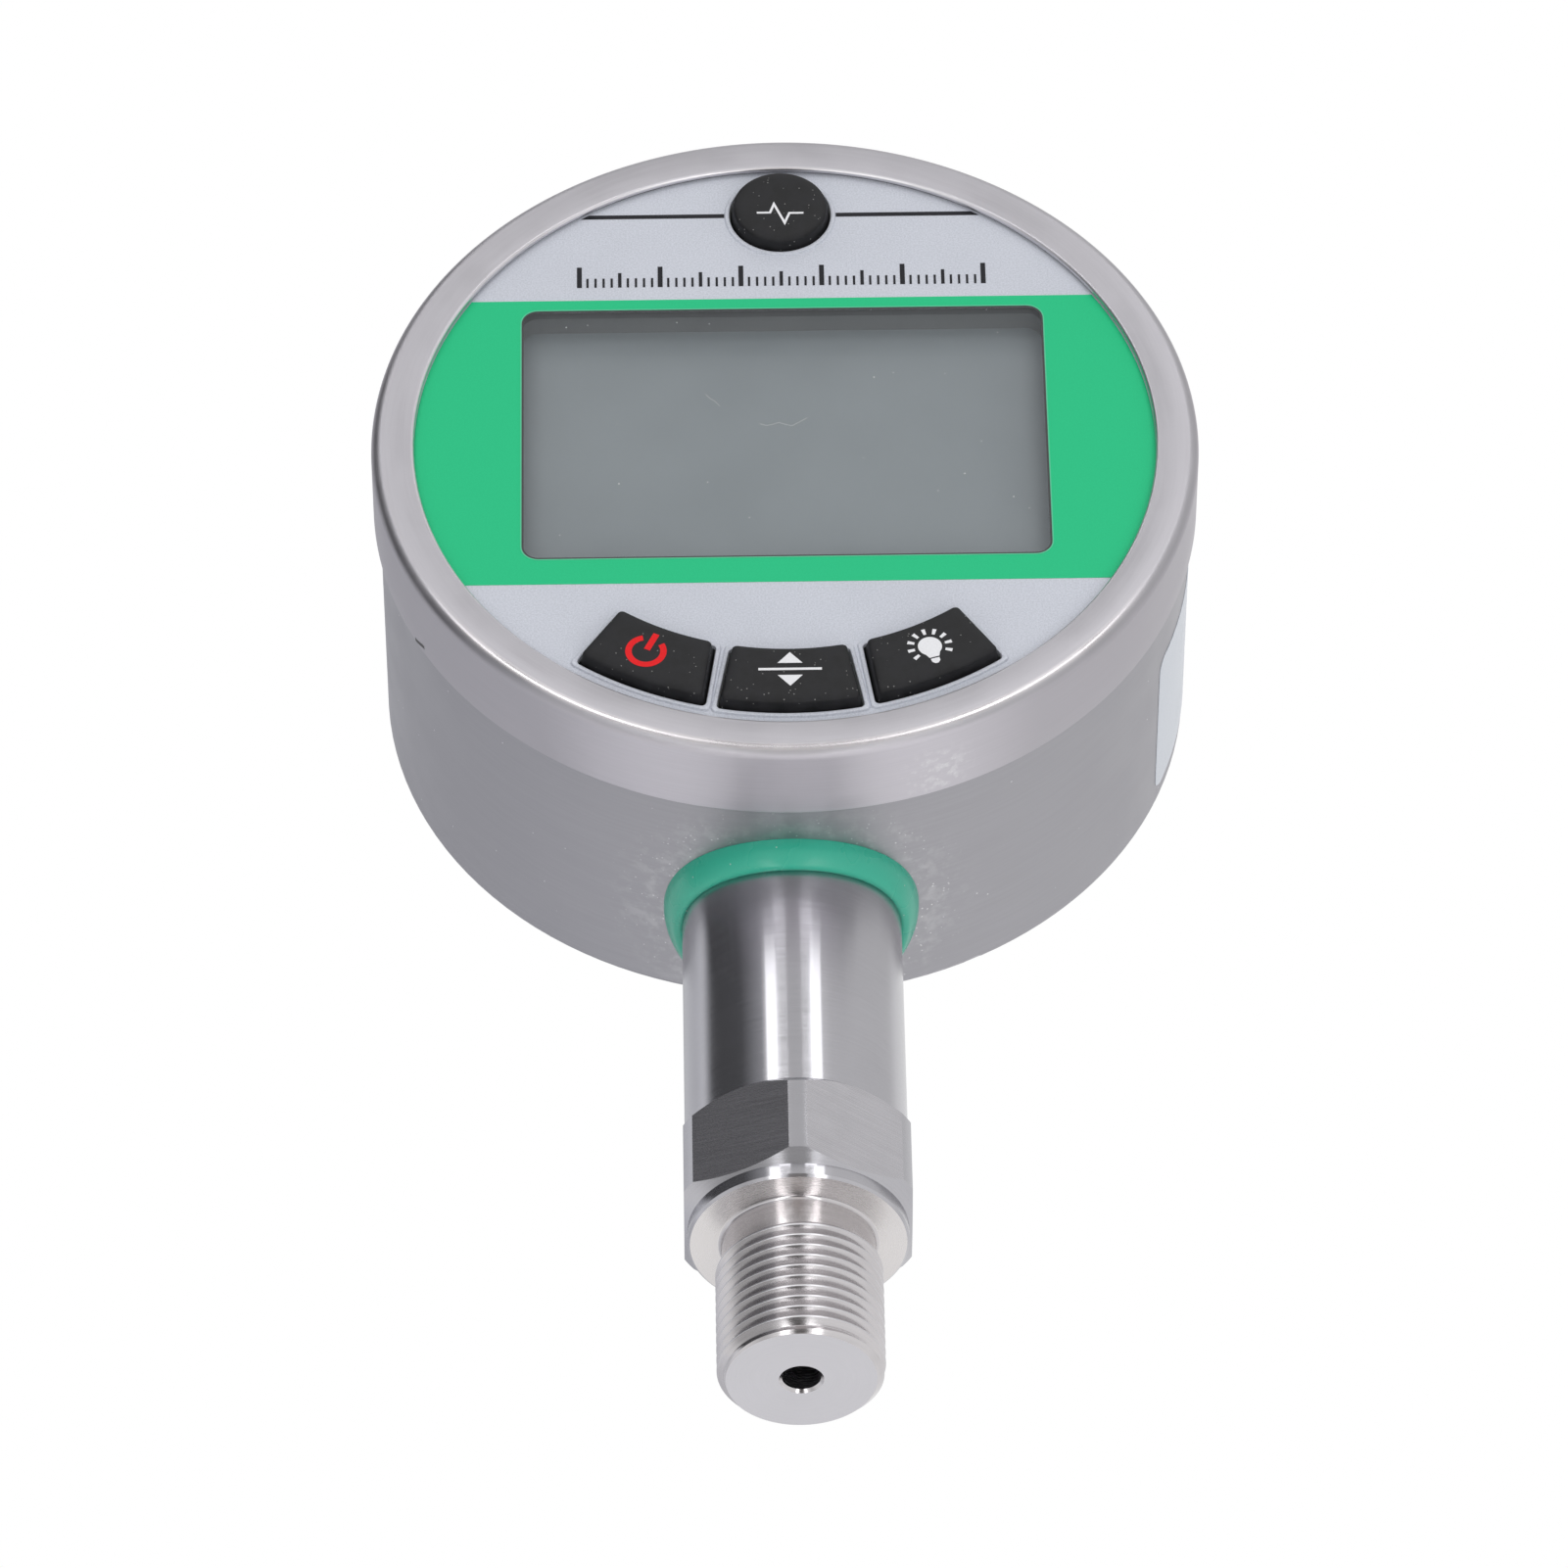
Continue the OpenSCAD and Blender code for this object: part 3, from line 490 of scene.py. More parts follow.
def printed(name, colour, tone=0.03):
    """Screen-printed ink, almost even, with a faint mottle."""
    look = Look(name, Specular_IOR_Level=PRINT_SPECULAR)
    fine = look.noise(look.place(), 6.0, 2.0)
    look.finish(look.spread(fine, 0, 1), *shades(colour, tone), look.spread(fine, 0.36, 0.46),
                fine, 0.003)


def paint_bezel_highlights_and_dust(look, corner, lip, skirt):
    """Painted highlights and dust on the bezel: brighter tints on the lower half of the outer
    corner and all round the lip's edge, and a brighter skirt, brightest low down as a painted
    reflection of the stem. The lower corner and the lip are also smoother, and a handful of dust
    sticks to the skirt."""
    spot = look.place(DIAL_CENTRE)
    up = look.split(spot)[2]
    radius, _, _ = look.around(spot, "Y")
    rising = look.spread(radius, 0.0, 1.0, CORNER_FROM_R - 0.3, CORNER_FROM_R + 0.1)
    falling = look.spread(radius, 1.0, 0.0, BEZEL_R - 0.9, BEZEL_R - 0.5)
    corner_highlight_mask = look.product(rising, falling, look.spread(up, 1.0, 0.0, *LOW_CORNER_HIGHLIGHT_FADE))
    lip_highlight_mask = look.spread(radius, 1.0, 0.0, LIP_R + 0.1, LIP_R + 0.4)
    on_skirt = look.spread(radius, 0.0, 1.0, BEZEL_R - 0.4, BEZEL_R - 0.05)
    low_skirt_reflection_mask = look.product(on_skirt, look.spread(up, 1.0, 0.0, *SKIRT_REFLECTION_FADE))
    # Painted light: the whole skirt is tinted brighter, and brighter still low down as a painted
    # reflection of the stem
    tint = look.mix(on_skirt, (1, 1, 1), skirt)
    tint = look.mix(low_skirt_reflection_mask, tint, tuple(1.3 * c for c in skirt))
    # Painted highlights: a brighter tint on the lower corner and on the lip's edge
    tint = look.mix(corner_highlight_mask, tint, corner)
    tint = look.mix(lip_highlight_mask, tint, lip)
    smoother = look.math("ADD", look.product(corner_highlight_mask, 0.16), look.product(lip_highlight_mask, 0.1))
    rougher = look.math("ADD", look.source("Roughness"), look.product(on_skirt, 0.06))
    look.set(Base_Color=look.mix(1.0, look.source("Base Color"), tint, "MULTIPLY"),
             Roughness=look.math("SUBTRACT", rougher, smoother))
    close = look.spread(look.vector("DISTANCE", spot, SKIRT_DUST), 1.0, 0.0, 1.5, 6.0)
    patch = look.spread(look.noise(spot, 0.9, 4.0), 0.0, 1.0, 0.48, 0.62)
    hazy = look.product(close, patch)
    near, _ = look.specks(spot, 3.0, 0.3)
    look.sprinkle(hazy, 0.35)
    look.sprinkle(near, hazy, 0.5)


def dust_case(look):
    """Pale dust that lies thickest on the case beside the seal."""
    spot = look.place()
    radius, _, z = look.around(spot, "Z")
    close = look.product(look.spread(radius, 1.0, 0.0, 16.0, 24.0),
                         look.spread(z, 1.0, 0.0, AXIS_Z - 45, AXIS_Z - 40))
    patch = look.spread(look.noise(spot, 0.22), 0.0, 1.0, 0.40, 0.5)
    near, number = look.specks(spot, 1.5, 0.17)
    many, few = (look.math("GREATER_THAN", number, above) for above in (0.5, 0.99))
    thick = look.product(close, patch, many)
    look.sprinkle(near, look.math("MAXIMUM", thick, few), 0.8)
    haze = look.spread(look.noise(spot, 0.5, 5.0, 0.65), 0.0, 0.4, 0.46, 0.68)
    look.sprinkle(close, haze, 0.5)


def make_label_silver():
    """Silver ink on plastic: a pale grey with a fine glitter."""
    look = Look("label_silver", Metallic=0.0, Specular_IOR_Level=0.3)
    spot = look.place()
    glitter = look.noise(spot, 4.5, 3.0, 0.7)
    cloud = look.noise(spot, 0.08, 2.0)
    share = look.math("ADD", look.spread(glitter, 0.0, 1.0), look.spread(cloud, -0.08, 0.08))
    look.finish(share, (0.51, 0.53, 0.585), (0.64, 0.66, 0.725), look.spread(glitter, 0.36, 0.5),
                glitter, 0.004)


def make_key_rubber():
    """Black silicone rubber, matt, with pale dust."""
    look = Look("key_rubber", Specular_IOR_Level=0.25)
    spot = look.place()
    fine = look.noise(spot, 7.0)
    cloud = look.noise(spot, 0.5)
    base = look.mix(look.spread(cloud, 0, 1), (0.007, 0.007, 0.008), (0.015, 0.015, 0.017))
    dusty = look.product(look.some_specks(spot, 1.6, 0.13, 0.6), 0.35)
    look.finish(dusty, base, (0.55, 0.55, 0.53), look.spread(cloud, 0.5, 0.62), fine, 0.008)


def make_display_glass():
    """Unlit liquid crystal display behind its polariser."""
    look = Look("display_glass", Roughness=0.35)
    spot = look.place()
    cloud = look.noise(spot, 0.06, 2.0)
    fine = look.noise(spot, 5.0, 2.0)
    share = look.math("ADD", look.spread(cloud, 0.2, 0.8), look.spread(fine, -0.1, 0.1))
    look.finish(share, (0.195, 0.222, 0.236), (0.218, 0.247, 0.262),
                look.spread(cloud, 0.3, 0.4), fine, 0.001)


def make_clear_window():
    """Clear plastic: light passes, and what it mirrors lies on top, with dust on it."""
    look = Look("clear_window", Roughness=0.08, Alpha=0.1)
    dusty = look.some_specks(look.place(), 0.35, 0.035, 0.6)
    look.set(Base_Color=look.mix(dusty, (0.5, 0.53, 0.55), (0.9, 0.9, 0.9)),
             Alpha=look.math("ADD", look.product(dusty, 0.6), 0.06))


def make_blank_label():
    """Blank foil label, slightly blue."""
    look = Look("blank_label", Metallic=0.3)
    fine = look.noise(look.place(), 4.0)
    look.finish(look.spread(fine, 0, 1), (0.62, 0.66, 0.72), (0.70, 0.73, 0.79),
                look.spread(fine, 0.3, 0.42), fine, 0.004)


bezel_steel = steel("bezel_steel", "Y", (0.394, 0.384, 0.408), 0.42, 0.3, (5.0, 4.0, 4.0),
                    smudge=0.04, depth=0.0003, centre=DIAL_CENTRE)
# Tints of the painted highlights on the bezel's corner and lip's edge, and of the painted light
# on its skirt
paint_bezel_highlights_and_dust(bezel_steel, (1.3, 1.28, 1.24), (1.7, 1.7, 1.66), (1.12, 1.11, 1.12))
case_steel = steel("case_steel", "Y", (0.372, 0.367, 0.392), 0.46, 0.3, (5.0, 3.0, 3.0),
                   tone=0.06, smudge=0.05, centre=DIAL_CENTRE)
dust_case(case_steel)
# One steel for the whole stem, in copies: thread_steel, end_steel and shoulder_steel are lighter
# than stem_steel, which is painted light on those faces
steel("stem_steel", "Z", (0.46, 0.455, 0.48), 0.16, 1.0, (2.0, 6.0, 6.0), tone=0.04, smudge=0.01)
steel("thread_steel", "Z", (0.56, 0.54, 0.55), 0.17, 0.5, (2.0, 3.0, 5.0), tone=0.08, smudge=0.02)
steel("end_steel", "Z", (0.59, 0.58, 0.605), 0.33, 0.3, (1.5, 3.0, 7.0), tone=0.03, smudge=0.02,
      depth=0.0004)
steel("shoulder_steel", "Z", (0.70, 0.675, 0.67), 0.27, 0.95, (1.0, 3.0, 4.0), tone=0.04,
      smudge=0.02, depth=0.0004)
LOOKS["bracket_steel"] = milled("flat_steel", (0.50, 0.49, 0.515), 0.27)
plain("screw_steel", (0.55, 0.55, 0.56), 0.25, metallic=1.0)
plain("contact_metal", (0.62, 0.60, 0.55), 0.3, metallic=1.0)
plain("retainer_brass", (0.70, 0.52, 0.25), 0.3, metallic=1.0)
seal_rubber = plain("seal_rubber", (0.035, 0.46, 0.31), 0.28, depth=0.004, tone=0.03, smudge=0.02)
seal_rubber.sprinkle(seal_rubber.some_specks(seal_rubber.place(), 1.1, 0.1, 0.8), 0.5)
plain("black_rubber", (0.02, 0.02, 0.021), 0.6)
plain("grey_plastic", (0.13, 0.137, 0.14), 0.5)
plain("black_plastic", (0.03, 0.03, 0.032), 0.45, grain=5.0, depth=0.02)
plain("white_plastic", (0.78, 0.78, 0.74), 0.45)
plain("board_green", (0.02, 0.13, 0.06), 0.35)
plain("contact_rubber", (0.45, 0.2, 0.25), 0.6)
plain("plunger_plastic", (0.75, 0.73, 0.68), 0.4)
plain("cell_wrap", (0.05, 0.06, 0.08), 0.3)
plain("lead_red", (0.4, 0.02, 0.02), 0.4)
plain("flex_film", (0.5, 0.25, 0.05), 0.35)
printed("label_green", (0.022, 0.54, 0.235))
printed("label_pale_green", (0.12, 0.58, 0.34))
printed("label_black", (0.018, 0.018, 0.022), 0.2)
printed("icon_white", (0.82, 0.82, 0.84))
printed("icon_red", (0.78, 0.012, 0.016))
printed("dust_pale", (0.42, 0.44, 0.43))
make_label_silver()
make_key_rubber()
make_display_glass()
make_clear_window()
make_blank_label()

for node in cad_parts.values():
    for number, old in enumerate(node.data.materials):
        node.data.materials[number] = LOOKS[old.name].material


# Keys

KEY_FLANGE = 0.7
KEY_FLANGE_FRONT = 5.3
KEY_BACK = 6.2
KEY_DRAFT = 0.2
KEY_EDGE_R = 0.45
KEY_EDGE_FROM = -0.13
KEY_CROWN = [(-0.75, -0.64), (-1.0, -0.70), (-1.3, -0.75), (-1.7, -0.78)]
POST_R = 2.2
POST_FRONT = 6.15
PLUNGER_FRONT = 8.0


def key_solid(outline, middle):
    """A key with a flange behind the panel, drafted sides, a soft edge and a flat top. The post
    behind it pushes its switch."""
    steps = [(KEY_FLANGE, KEY_BACK), (KEY_FLANGE, KEY_FLANGE_FRONT), (0.0, KEY_FLANGE_FRONT),
             (0.0, LABEL_FRONT)]
    steps += [(-KEY_DRAFT - KEY_EDGE_R * (1 - cosine(a)), KEY_EDGE_FROM - KEY_EDGE_R * sine(a))
              for a in range(0, 76, 15)]
    post = plate(circle(*middle, POST_R, 48), POST_FRONT, PLUNGER_FRONT)
    return merged([loft(dial_rings(outline, steps + KEY_CROWN)), post])


arc_mid_r = (ARC_OUTER_R + ARC_INNER_R) / 2
side_mid = (SIDE_FROM[0] + SIDE_TO[0]) / 2
light_middle = (arc_mid_r * sine(side_mid), -arc_mid_r * cosine(side_mid))
KEY_MIDDLES = {"peak": (0, ROUND_KEY_UP), "unit": (0, -arc_mid_r), "light": light_middle,
               "power": (-light_middle[0], light_middle[1])}

for name, outline in KEYS.items():
    piece(f"{name}_key_top", key_solid(outline, KEY_MIDDLES[name]), "key_rubber",
          f"{name}_key", f"{name}_button")


# Printed marks on the keys

ICON_FRONT = -0.8
ICON_BACK = -0.75


def rotated(outline, angle, cx=0, cy=0):
    """An outline turned anticlockwise and then moved."""
    c, s = cosine(angle), sine(angle)
    return [(cx + x * c - y * s, cy + x * s + y * c) for x, y in outline]


def icon(name, body, look, middle, angle, outlines):
    """A printed mark on a key, from closed outlines round its middle."""
    turned = [rotated(outline, angle, *middle) for outline in outlines]
    piece(name, plates(turned, ICON_FRONT, ICON_BACK), look, body)


def box_outline(left, right, low, high):
    return [(left, low), (right, low), (right, high), (left, high)]


PULSE = [(-2.9, 0.1), (-1.25, 0.1), (-0.75, 1.55), (0.55, -1.65), (1.15, 0.0), (2.9, 0.0)]
icon("pulse_mark", "peak_key", "icon_white", (0, 36.75), 0, [ribbon(PULSE, 0.3)])

POWER_R = 2.1
POWER_HALF = 0.39
ring = (arc(0, 0, POWER_R + POWER_HALF, 125, 415, 49)
        + arc(0, 0, POWER_R - POWER_HALF, 415, 125, 49))
bar = box_outline(-POWER_HALF, POWER_HALF, 0.25, 2.95)
icon("power_mark", "power_key", "icon_red", (-17.2, -34.9), -26, [ring, bar])

BULB_R = 1.45
bulb = arc(0, 0, BULB_R, -52, 232, 40) + [(-0.62, -1.75), (0.62, -1.75)]
cap = [(-0.55, -1.95), (0.55, -1.95), (0.5, -2.45), (0.2, -2.75), (-0.2, -2.75), (-0.5, -2.45)]
ray = [(1.9, -0.18), (2.75, -0.24), (2.75, 0.24), (1.9, 0.18)]
rays = [rotated(ray, angle) for angle in range(-30, 211, 30)]
icon("bulb_mark", "light_key", "icon_white", (16.8, -34.7), 17, [bulb, cap] + rays)

arrow = [(-1.5, 0.95), (1.5, 0.95), (0, 2.65)]
under = [(x, -y) for x, y in reversed(arrow)]
icon("unit_mark", "unit_key", "icon_white", (0, -38.0), 0,
     [box_outline(-3.8, 3.8, -0.18, 0.18), arrow, under])


# Label of the dial, with a low rim round each key's well

KEY_WELL = 0.28
KEY_RIM = 0.5
RIM_H = 0.1
RIM_BASE = LABEL_FRONT - 0.2
RIM_FOOT = KEY_WELL + KEY_RIM + 0.12
WINDOW_FLANGE = 1.8
WINDOW_R = 2.0
WINDOW_PLAY = 0.05
WINDOW_FRONT = window_low.y - FACE_Y


def flat_with_holes(outer, holes, front, back):
    """A flat solid of the dial with holes."""
    curve = bpy.data.curves.new("outline", "CURVE")
    curve.dimensions = "2D"
    curve.fill_mode = "BOTH"
    curve.extrude = (back - front) / 2
    for outline in [outer] + holes:
        spline = curve.splines.new("POLY")
        spline.points.add(len(outline) - 1)
        for point, (x, up) in zip(spline.points, outline):
            point.co = (x, up, 0, 1)
        spline.use_cyclic_u = True
    shape = placed("outline", curve)
    points, faces = evaluated(shape)
    bpy.data.objects.remove(shape)
    bpy.data.curves.remove(curve)
    middle = (front + back) / 2
    return [dial(x, up, middle - z) for x, up, z in points], faces


def window_outline(grow):
    """Outline of the display opening, grown by an allowance."""
    middle = (window_low.z + window_high.z) / 2 - AXIS_Z
    half_h = (window_high.z - window_low.z) / 2 - WINDOW_FLANGE + grow
    corners = round_rect(window_high.x - WINDOW_FLANGE + grow, half_h, WINDOW_R + grow, 9)
    return [(x, middle + up) for x, up in corners]


def rim(outline):
    """A low rounded ridge round a key's well."""
    steps = [(KEY_WELL, LABEL_BACK), (KEY_WELL, RIM_BASE)]
    steps += [(KEY_WELL + KEY_RIM * (0.5 - 0.5 * cosine(a)), RIM_BASE - RIM_H * sine(a))
              for a in range(15, 166, 15)]
    steps += [(KEY_WELL + KEY_RIM, RIM_BASE + 0.02), (RIM_FOOT, LABEL_FRONT)]
    return skin(dial_rings(outline, steps))


holes = [window_outline(WINDOW_PLAY)] + [outline(RIM_FOOT) for outline in KEYS.values()]
sheet = flat_with_holes(circle(0, 0, LABEL_R, 256), holes, LABEL_FRONT, LABEL_BACK)
piece("dial_label", merged([sheet] + [rim(outline) for outline in KEYS.values()]),
      "label_silver", replaced="face_label")


# Bezel, rolled from sheet

BEZEL_CROWN = 0.1
BEZEL_FACE_T = 1.0
SKIRT_T = 0.7
SKIRT_END = 11.3


def bezel_profile():
    """Radii and depths round the bezel's section, from its inner edge over the face."""
    edge_r = (BEZEL_FACE_T - BEZEL_CROWN) / 2
    edge_at = LIP_R + edge_r
    inner_r = BEZEL_CORNER_R - SKIRT_T
    end_r = SKIRT_T / 2
    half = (CORNER_FROM_R - edge_at) / 2
    profile = arc(edge_at, BEZEL_CROWN + edge_r, edge_r, 90, 270, 16)
    profile += [(edge_at + half * (1 + s), BEZEL_CROWN * s * s)
                for s in (-0.75, -0.5, -0.25, 0.0, 0.25, 0.5, 0.75)]
    profile += arc(CORNER_FROM_R, BEZEL_CROWN + BEZEL_CORNER_R, BEZEL_CORNER_R, -90, 0, 16)
    profile += [(BEZEL_R, depth) for depth in (4.0, 8.0)]
    profile += arc(BEZEL_R - end_r, SKIRT_END - end_r, end_r, 0, 180, 10)
    return profile + arc(CORNER_FROM_R, BEZEL_FACE_T + inner_r, inner_r, 0, -90, 7)


rings = [[dial(x, up, depth) for x, up in circle(0, 0, r, 360)] for r, depth in bezel_profile()]
piece("bezel_turned", skin(rings, closed=True), "bezel_steel", replaced="bezel_ring")


# A plain scale in the place of the title, a pale edge round the window and dust on it

SCALE_HALF = 25
SCALE_FOOT = 26.3
SCALE_LONG = (3.4, 0.6)
SCALE_MIDDLE = (2.4, 0.42)
SCALE_SHORT = (1.5, 0.28)
PRINT_T = 0.05
marks = []
for x in range(-SCALE_HALF, SCALE_HALF + 1):
    step = x + SCALE_HALF
    tall, wide = SCALE_LONG if step % 10 == 0 else SCALE_MIDDLE if step % 5 == 0 else SCALE_SHORT
    marks.append(box_outline(x - wide / 2, x + wide / 2, SCALE_FOOT, SCALE_FOOT + tall))
piece("scale_marks", plates(marks, LABEL_FRONT - PRINT_T, LABEL_FRONT), "label_black")

EDGE_LINE_W = 0.14
EDGE_SHADE_W = 0.2
edge = flat_with_holes(window_outline(WINDOW_PLAY + EDGE_LINE_W), [window_outline(WINDOW_PLAY)],
                       LABEL_FRONT - 2 * PRINT_T, LABEL_FRONT)
piece("window_edge", edge, "label_pale_green")
shade = flat_with_holes(window_outline(WINDOW_PLAY), [window_outline(-EDGE_SHADE_W)],
                        WINDOW_FRONT - PRINT_T, WINDOW_FRONT)
piece("window_shade", shade, "black_plastic")

SCRATCH = [(-3.0, 3.3), (-2.2, 3.0), (-1.4, 3.2), (-0.7, 3.5), (0.0, 3.2), (0.9, 2.9),
           (1.8, 3.5), (2.8, 4.2)]
SCRATCH_W = 0.06
HAIR = [(-9.6, 8.3), (-9.1, 7.6), (-8.4, 7.1), (-7.9, 6.3)]
HAIR_W = 0.05
SPECKS = [(-24, 20), (-13, 20.3), (-9, 20), (26.5, 18), (18.5, -8), (24, 0), (-4.5, -12),
          (9.5, -2.5), (-20.5, 3.5), (13.5, 11.5), (-27.5, -14.5), (29.5, -11)]
SPECK_R = 0.09
DUST_T = 0.02
dust = [ribbon(SCRATCH, SCRATCH_W), ribbon(HAIR, HAIR_W)]
dust += [circle(x, up, SPECK_R, 8) for x, up in SPECKS]
piece("window_dust", plates(dust, WINDOW_FRONT - DUST_T, WINDOW_FRONT), "dust_pale")


# Stem, with a real helical thread

THREAD_R = 9.925
THREAD_ROOT_R = 9.0
PITCH = 1.5
CREST_SHARE = 0.14
END_CHAMFER = 1.0
END_Z = 0.02
SHOULDER_Z = 20.0
THREAD_TOP = 16.5
RELIEF_R = 9.1
RELIEF_FILLET = 0.55
SHOULDER_R = 12.85
WASHER_R = 13.15
WASHER_TOP = 21.8
HEX_SLOPE = math.tan(math.radians(30))
THREAD_START = 0.6
HEX_FLAT = stem_high.x
HEX_CORNER_R = stem_high.y
HEX_TOP = 34.5
STEM_R = 13.3
STEM_TOP = stem_high.z
PORT_R = 2.3
PORT_CHAMFER = 0.35
POCKET_R = 8.0
POCKET_FLOOR = STEM_TOP - 15


def stem_columns():
    """Angles round the stem, with one at each edge of the hexagon's turned corners."""
    edge = math.degrees(math.acos(HEX_FLAT / HEX_CORNER_R))
    angles = []
    for flat in range(0, 360, 60):
        angles += [flat - edge + 2 * edge * i / 36 for i in range(37)]
        angles += [flat + edge + (60 - 2 * edge) * i / 7 for i in range(1, 7)]
    return sorted(a % 360 for a in angles)


def between(start, end, shares):
    """Points on the line from start to end, at these shares of it."""
    return [tuple(a + (b - a) * s for a, b in zip(start, end)) for s in shares]


def body_profile(angle):
    """Radii and heights from the relief groove up the outside and down the inside. The hexagon
    reaches out to its flats, or to its turned corners."""
    reach = min(HEX_FLAT / cosine(angle - round(angle / 60) * 60), HEX_CORNER_R)
    low = (reach, WASHER_TOP + (reach - WASHER_R) * HEX_SLOPE)
    high = (reach, HEX_TOP - (reach - STEM_R))
    outside = [(RELIEF_R, THREAD_TOP), (RELIEF_R, SHOULDER_Z - RELIEF_FILLET)]
    outside += arc(RELIEF_R + RELIEF_FILLET, SHOULDER_Z - RELIEF_FILLET, RELIEF_FILLET,
                   165, 90, 6)
    outside += [(11.5, SHOULDER_Z), (SHOULDER_R, SHOULDER_Z),
                (WASHER_R, SHOULDER_Z + WASHER_R - SHOULDER_R), (WASHER_R, WASHER_TOP)]
    outside += between((WASHER_R, WASHER_TOP), low, (0.5, 1.0))
    outside += between(low, high, (0.25, 0.5, 0.75, 1.0))
    outside += between(high, (STEM_R, HEX_TOP), (0.5, 1.0))
    outside += between((STEM_R, HEX_TOP), (STEM_R, STEM_TOP), (0.1, 0.3, 0.5, 0.7, 1.0))
    inside = [(POCKET_R, STEM_TOP), (POCKET_R, POCKET_FLOOR), (PORT_R, POCKET_FLOOR),
              (PORT_R, PORT_CHAMFER), (PORT_R + PORT_CHAMFER, 0.0)]
    inside += [(r, 0.0) for r in (4.0, 6.0, 8.0, THREAD_R - END_CHAMFER - 0.05)]
    return outside + inside + [(THREAD_R - END_CHAMFER, END_Z)]


def thread_profile():
    """Heights and radii over one pitch: a flat crest, straight flanks and a round root."""
    steps = [(0.0, THREAD_R - 0.03), (0.025, THREAD_R), (CREST_SHARE - 0.025, THREAD_R),
             (CREST_SHARE, THREAD_R - 0.03)]
    root = [(0.47, 0.13), (0.52, 0.03), (0.57, 0.0), (0.62, 0.03), (0.67, 0.13)]
    return [(s * PITCH, r) for s, r in steps + [(s, THREAD_ROOT_R + up) for s, up in root]]


def thread_solid(columns):
    """The helical surface of the thread, cut off at the end's chamfer and the relief groove."""
    profile = thread_profile()
    rows = [(THREAD_START + turn * PITCH + z, r)
            for turn in range(-2, int(THREAD_TOP / PITCH) + 4) for z, r in profile]
    points = []
    for z, r in rows:
        for angle in columns:
            height = min(max(z + PITCH * angle / 360, END_Z), THREAD_TOP)
            radius = min(r, THREAD_R - END_CHAMFER + height - END_Z,
                         RELIEF_R + THREAD_TOP - height)
            if height >= THREAD_TOP - 0.001:
                radius = RELIEF_R
            points.append((radius * cosine(angle), radius * sine(angle), height))
    faces = []
    count = len(columns)
    for i in range(len(rows) - 1 - len(profile)):
        for j in range(count):
            a = i * count + j
            b = a + 1 if j + 1 < count else (i + len(profile)) * count
            faces.append((a, b, b + count, a + count))
    return points, faces


def stem_solid():
    columns = stem_columns()
    profiles = [body_profile(a) for a in columns]
    rings = [[(r * cosine(a), r * sine(a), z) for a, (r, z) in zip(columns, ring)]
             for ring in zip(*profiles)]
    return merged([skin(rings), thread_solid(columns)])


def stem_finish(face):
    """Which of the stem's materials a face has, by where it lies."""
    height = face.center.z / MM
    from_axis = face.center.xy.length / MM
    if (WASHER_TOP + 0.01 < height < HEX_TOP and abs(face.normal.z) < 0.01
            and from_axis < HEX_CORNER_R - 0.05):
        return "flat_steel"
    if abs(height - SHOULDER_Z) < 0.01 and face.normal.z < -0.9:
        return "shoulder_steel"
    if height >= SHOULDER_Z - 0.01:
        return "stem_steel"
    # The end face and the thread's crests take the lighter end steel: painted light on the face
    # and a painted highlight on the crests
    on_end = height < 0.01 and from_axis > PORT_R + PORT_CHAMFER
    on_crest = from_axis > THREAD_R - 0.06
    return "end_steel" if on_end or on_crest else "thread_steel"


STEM_LOOKS = ["stem_steel", "flat_steel", "thread_steel", "end_steel", "shoulder_steel"]
stem = piece("stem_body", stem_solid(), STEM_LOOKS[0], replaced="stem", smooth_angle=18)
for name in STEM_LOOKS[1:]:
    stem.data.materials.append(LOOKS[name].material)
for face in stem.data.polygons:
    face.material_index = STEM_LOOKS.index(stem_finish(face))


# Seal ring, cut to the curve of the case above it

SEAL_LIP_R = 0.75
SEAL_SUNK_SHARE = math.sqrt(0.5)
SEAL_EDGE_R = 15.5
SEAL_EDGE_H = 0.3
SEAL_BULGE = 0.3
SEAL_STEPS = 180


def shell_z(x):
    """Height of the underside of the case."""
    return AXIS_Z - math.sqrt(CASE_R * CASE_R - x * x)


def seal_solid():
    """A moulded ring whose lower edge and flange follow the curve of the case. Its section has
    heights from the case, and runs from the lower lip up the outside and back along the case."""
    lip_middle = seal_low.z + SEAL_LIP_R - shell_z(0)
    section = arc(STEM_R + 0.01 + SEAL_LIP_R * SEAL_SUNK_SHARE, lip_middle, SEAL_LIP_R,
                  225, 315, 7)
    from_r, from_h = section[-1]
    section += [(from_r + (SEAL_EDGE_R - from_r) * s + SEAL_BULGE * sine(180 * s),
                 from_h - (SEAL_EDGE_H + from_h) * s) for s in (0.2, 0.4, 0.6, 0.8, 0.95)]
    section.append((SEAL_EDGE_R, -SEAL_EDGE_H / 2))
    section += [(r, -0.02) for r in (SEAL_EDGE_R, STEM_R + 1, section[0][0])]
    rings = [[(r * c, r * s, shell_z(r * c) + h) for r, h in section]
             for c, s in circle(0, 0, 1, SEAL_STEPS)]
    return skin(rings, closed=True)


piece("seal_bead", seal_solid(), "seal_rubber", replaced="seal_ring", smooth_angle=40)


# Blank label on the side of the case

SIDE_LABEL_FROM = 20.0
SIDE_LABEL_L = 24.4
SIDE_LABEL_HALF = 23.7
SIDE_LABEL_CORNER = 2.0
SIDE_LABEL_T = 0.1
SIDE_LABEL_STEP = 0.6


def round_dial(ring_r, along):
    """Points on a cylinder round the case axis, from lengths round it and depths."""
    return [dial(ring_r * math.cos(angle), ring_r * math.sin(angle), depth)
            for angle, depth in along]


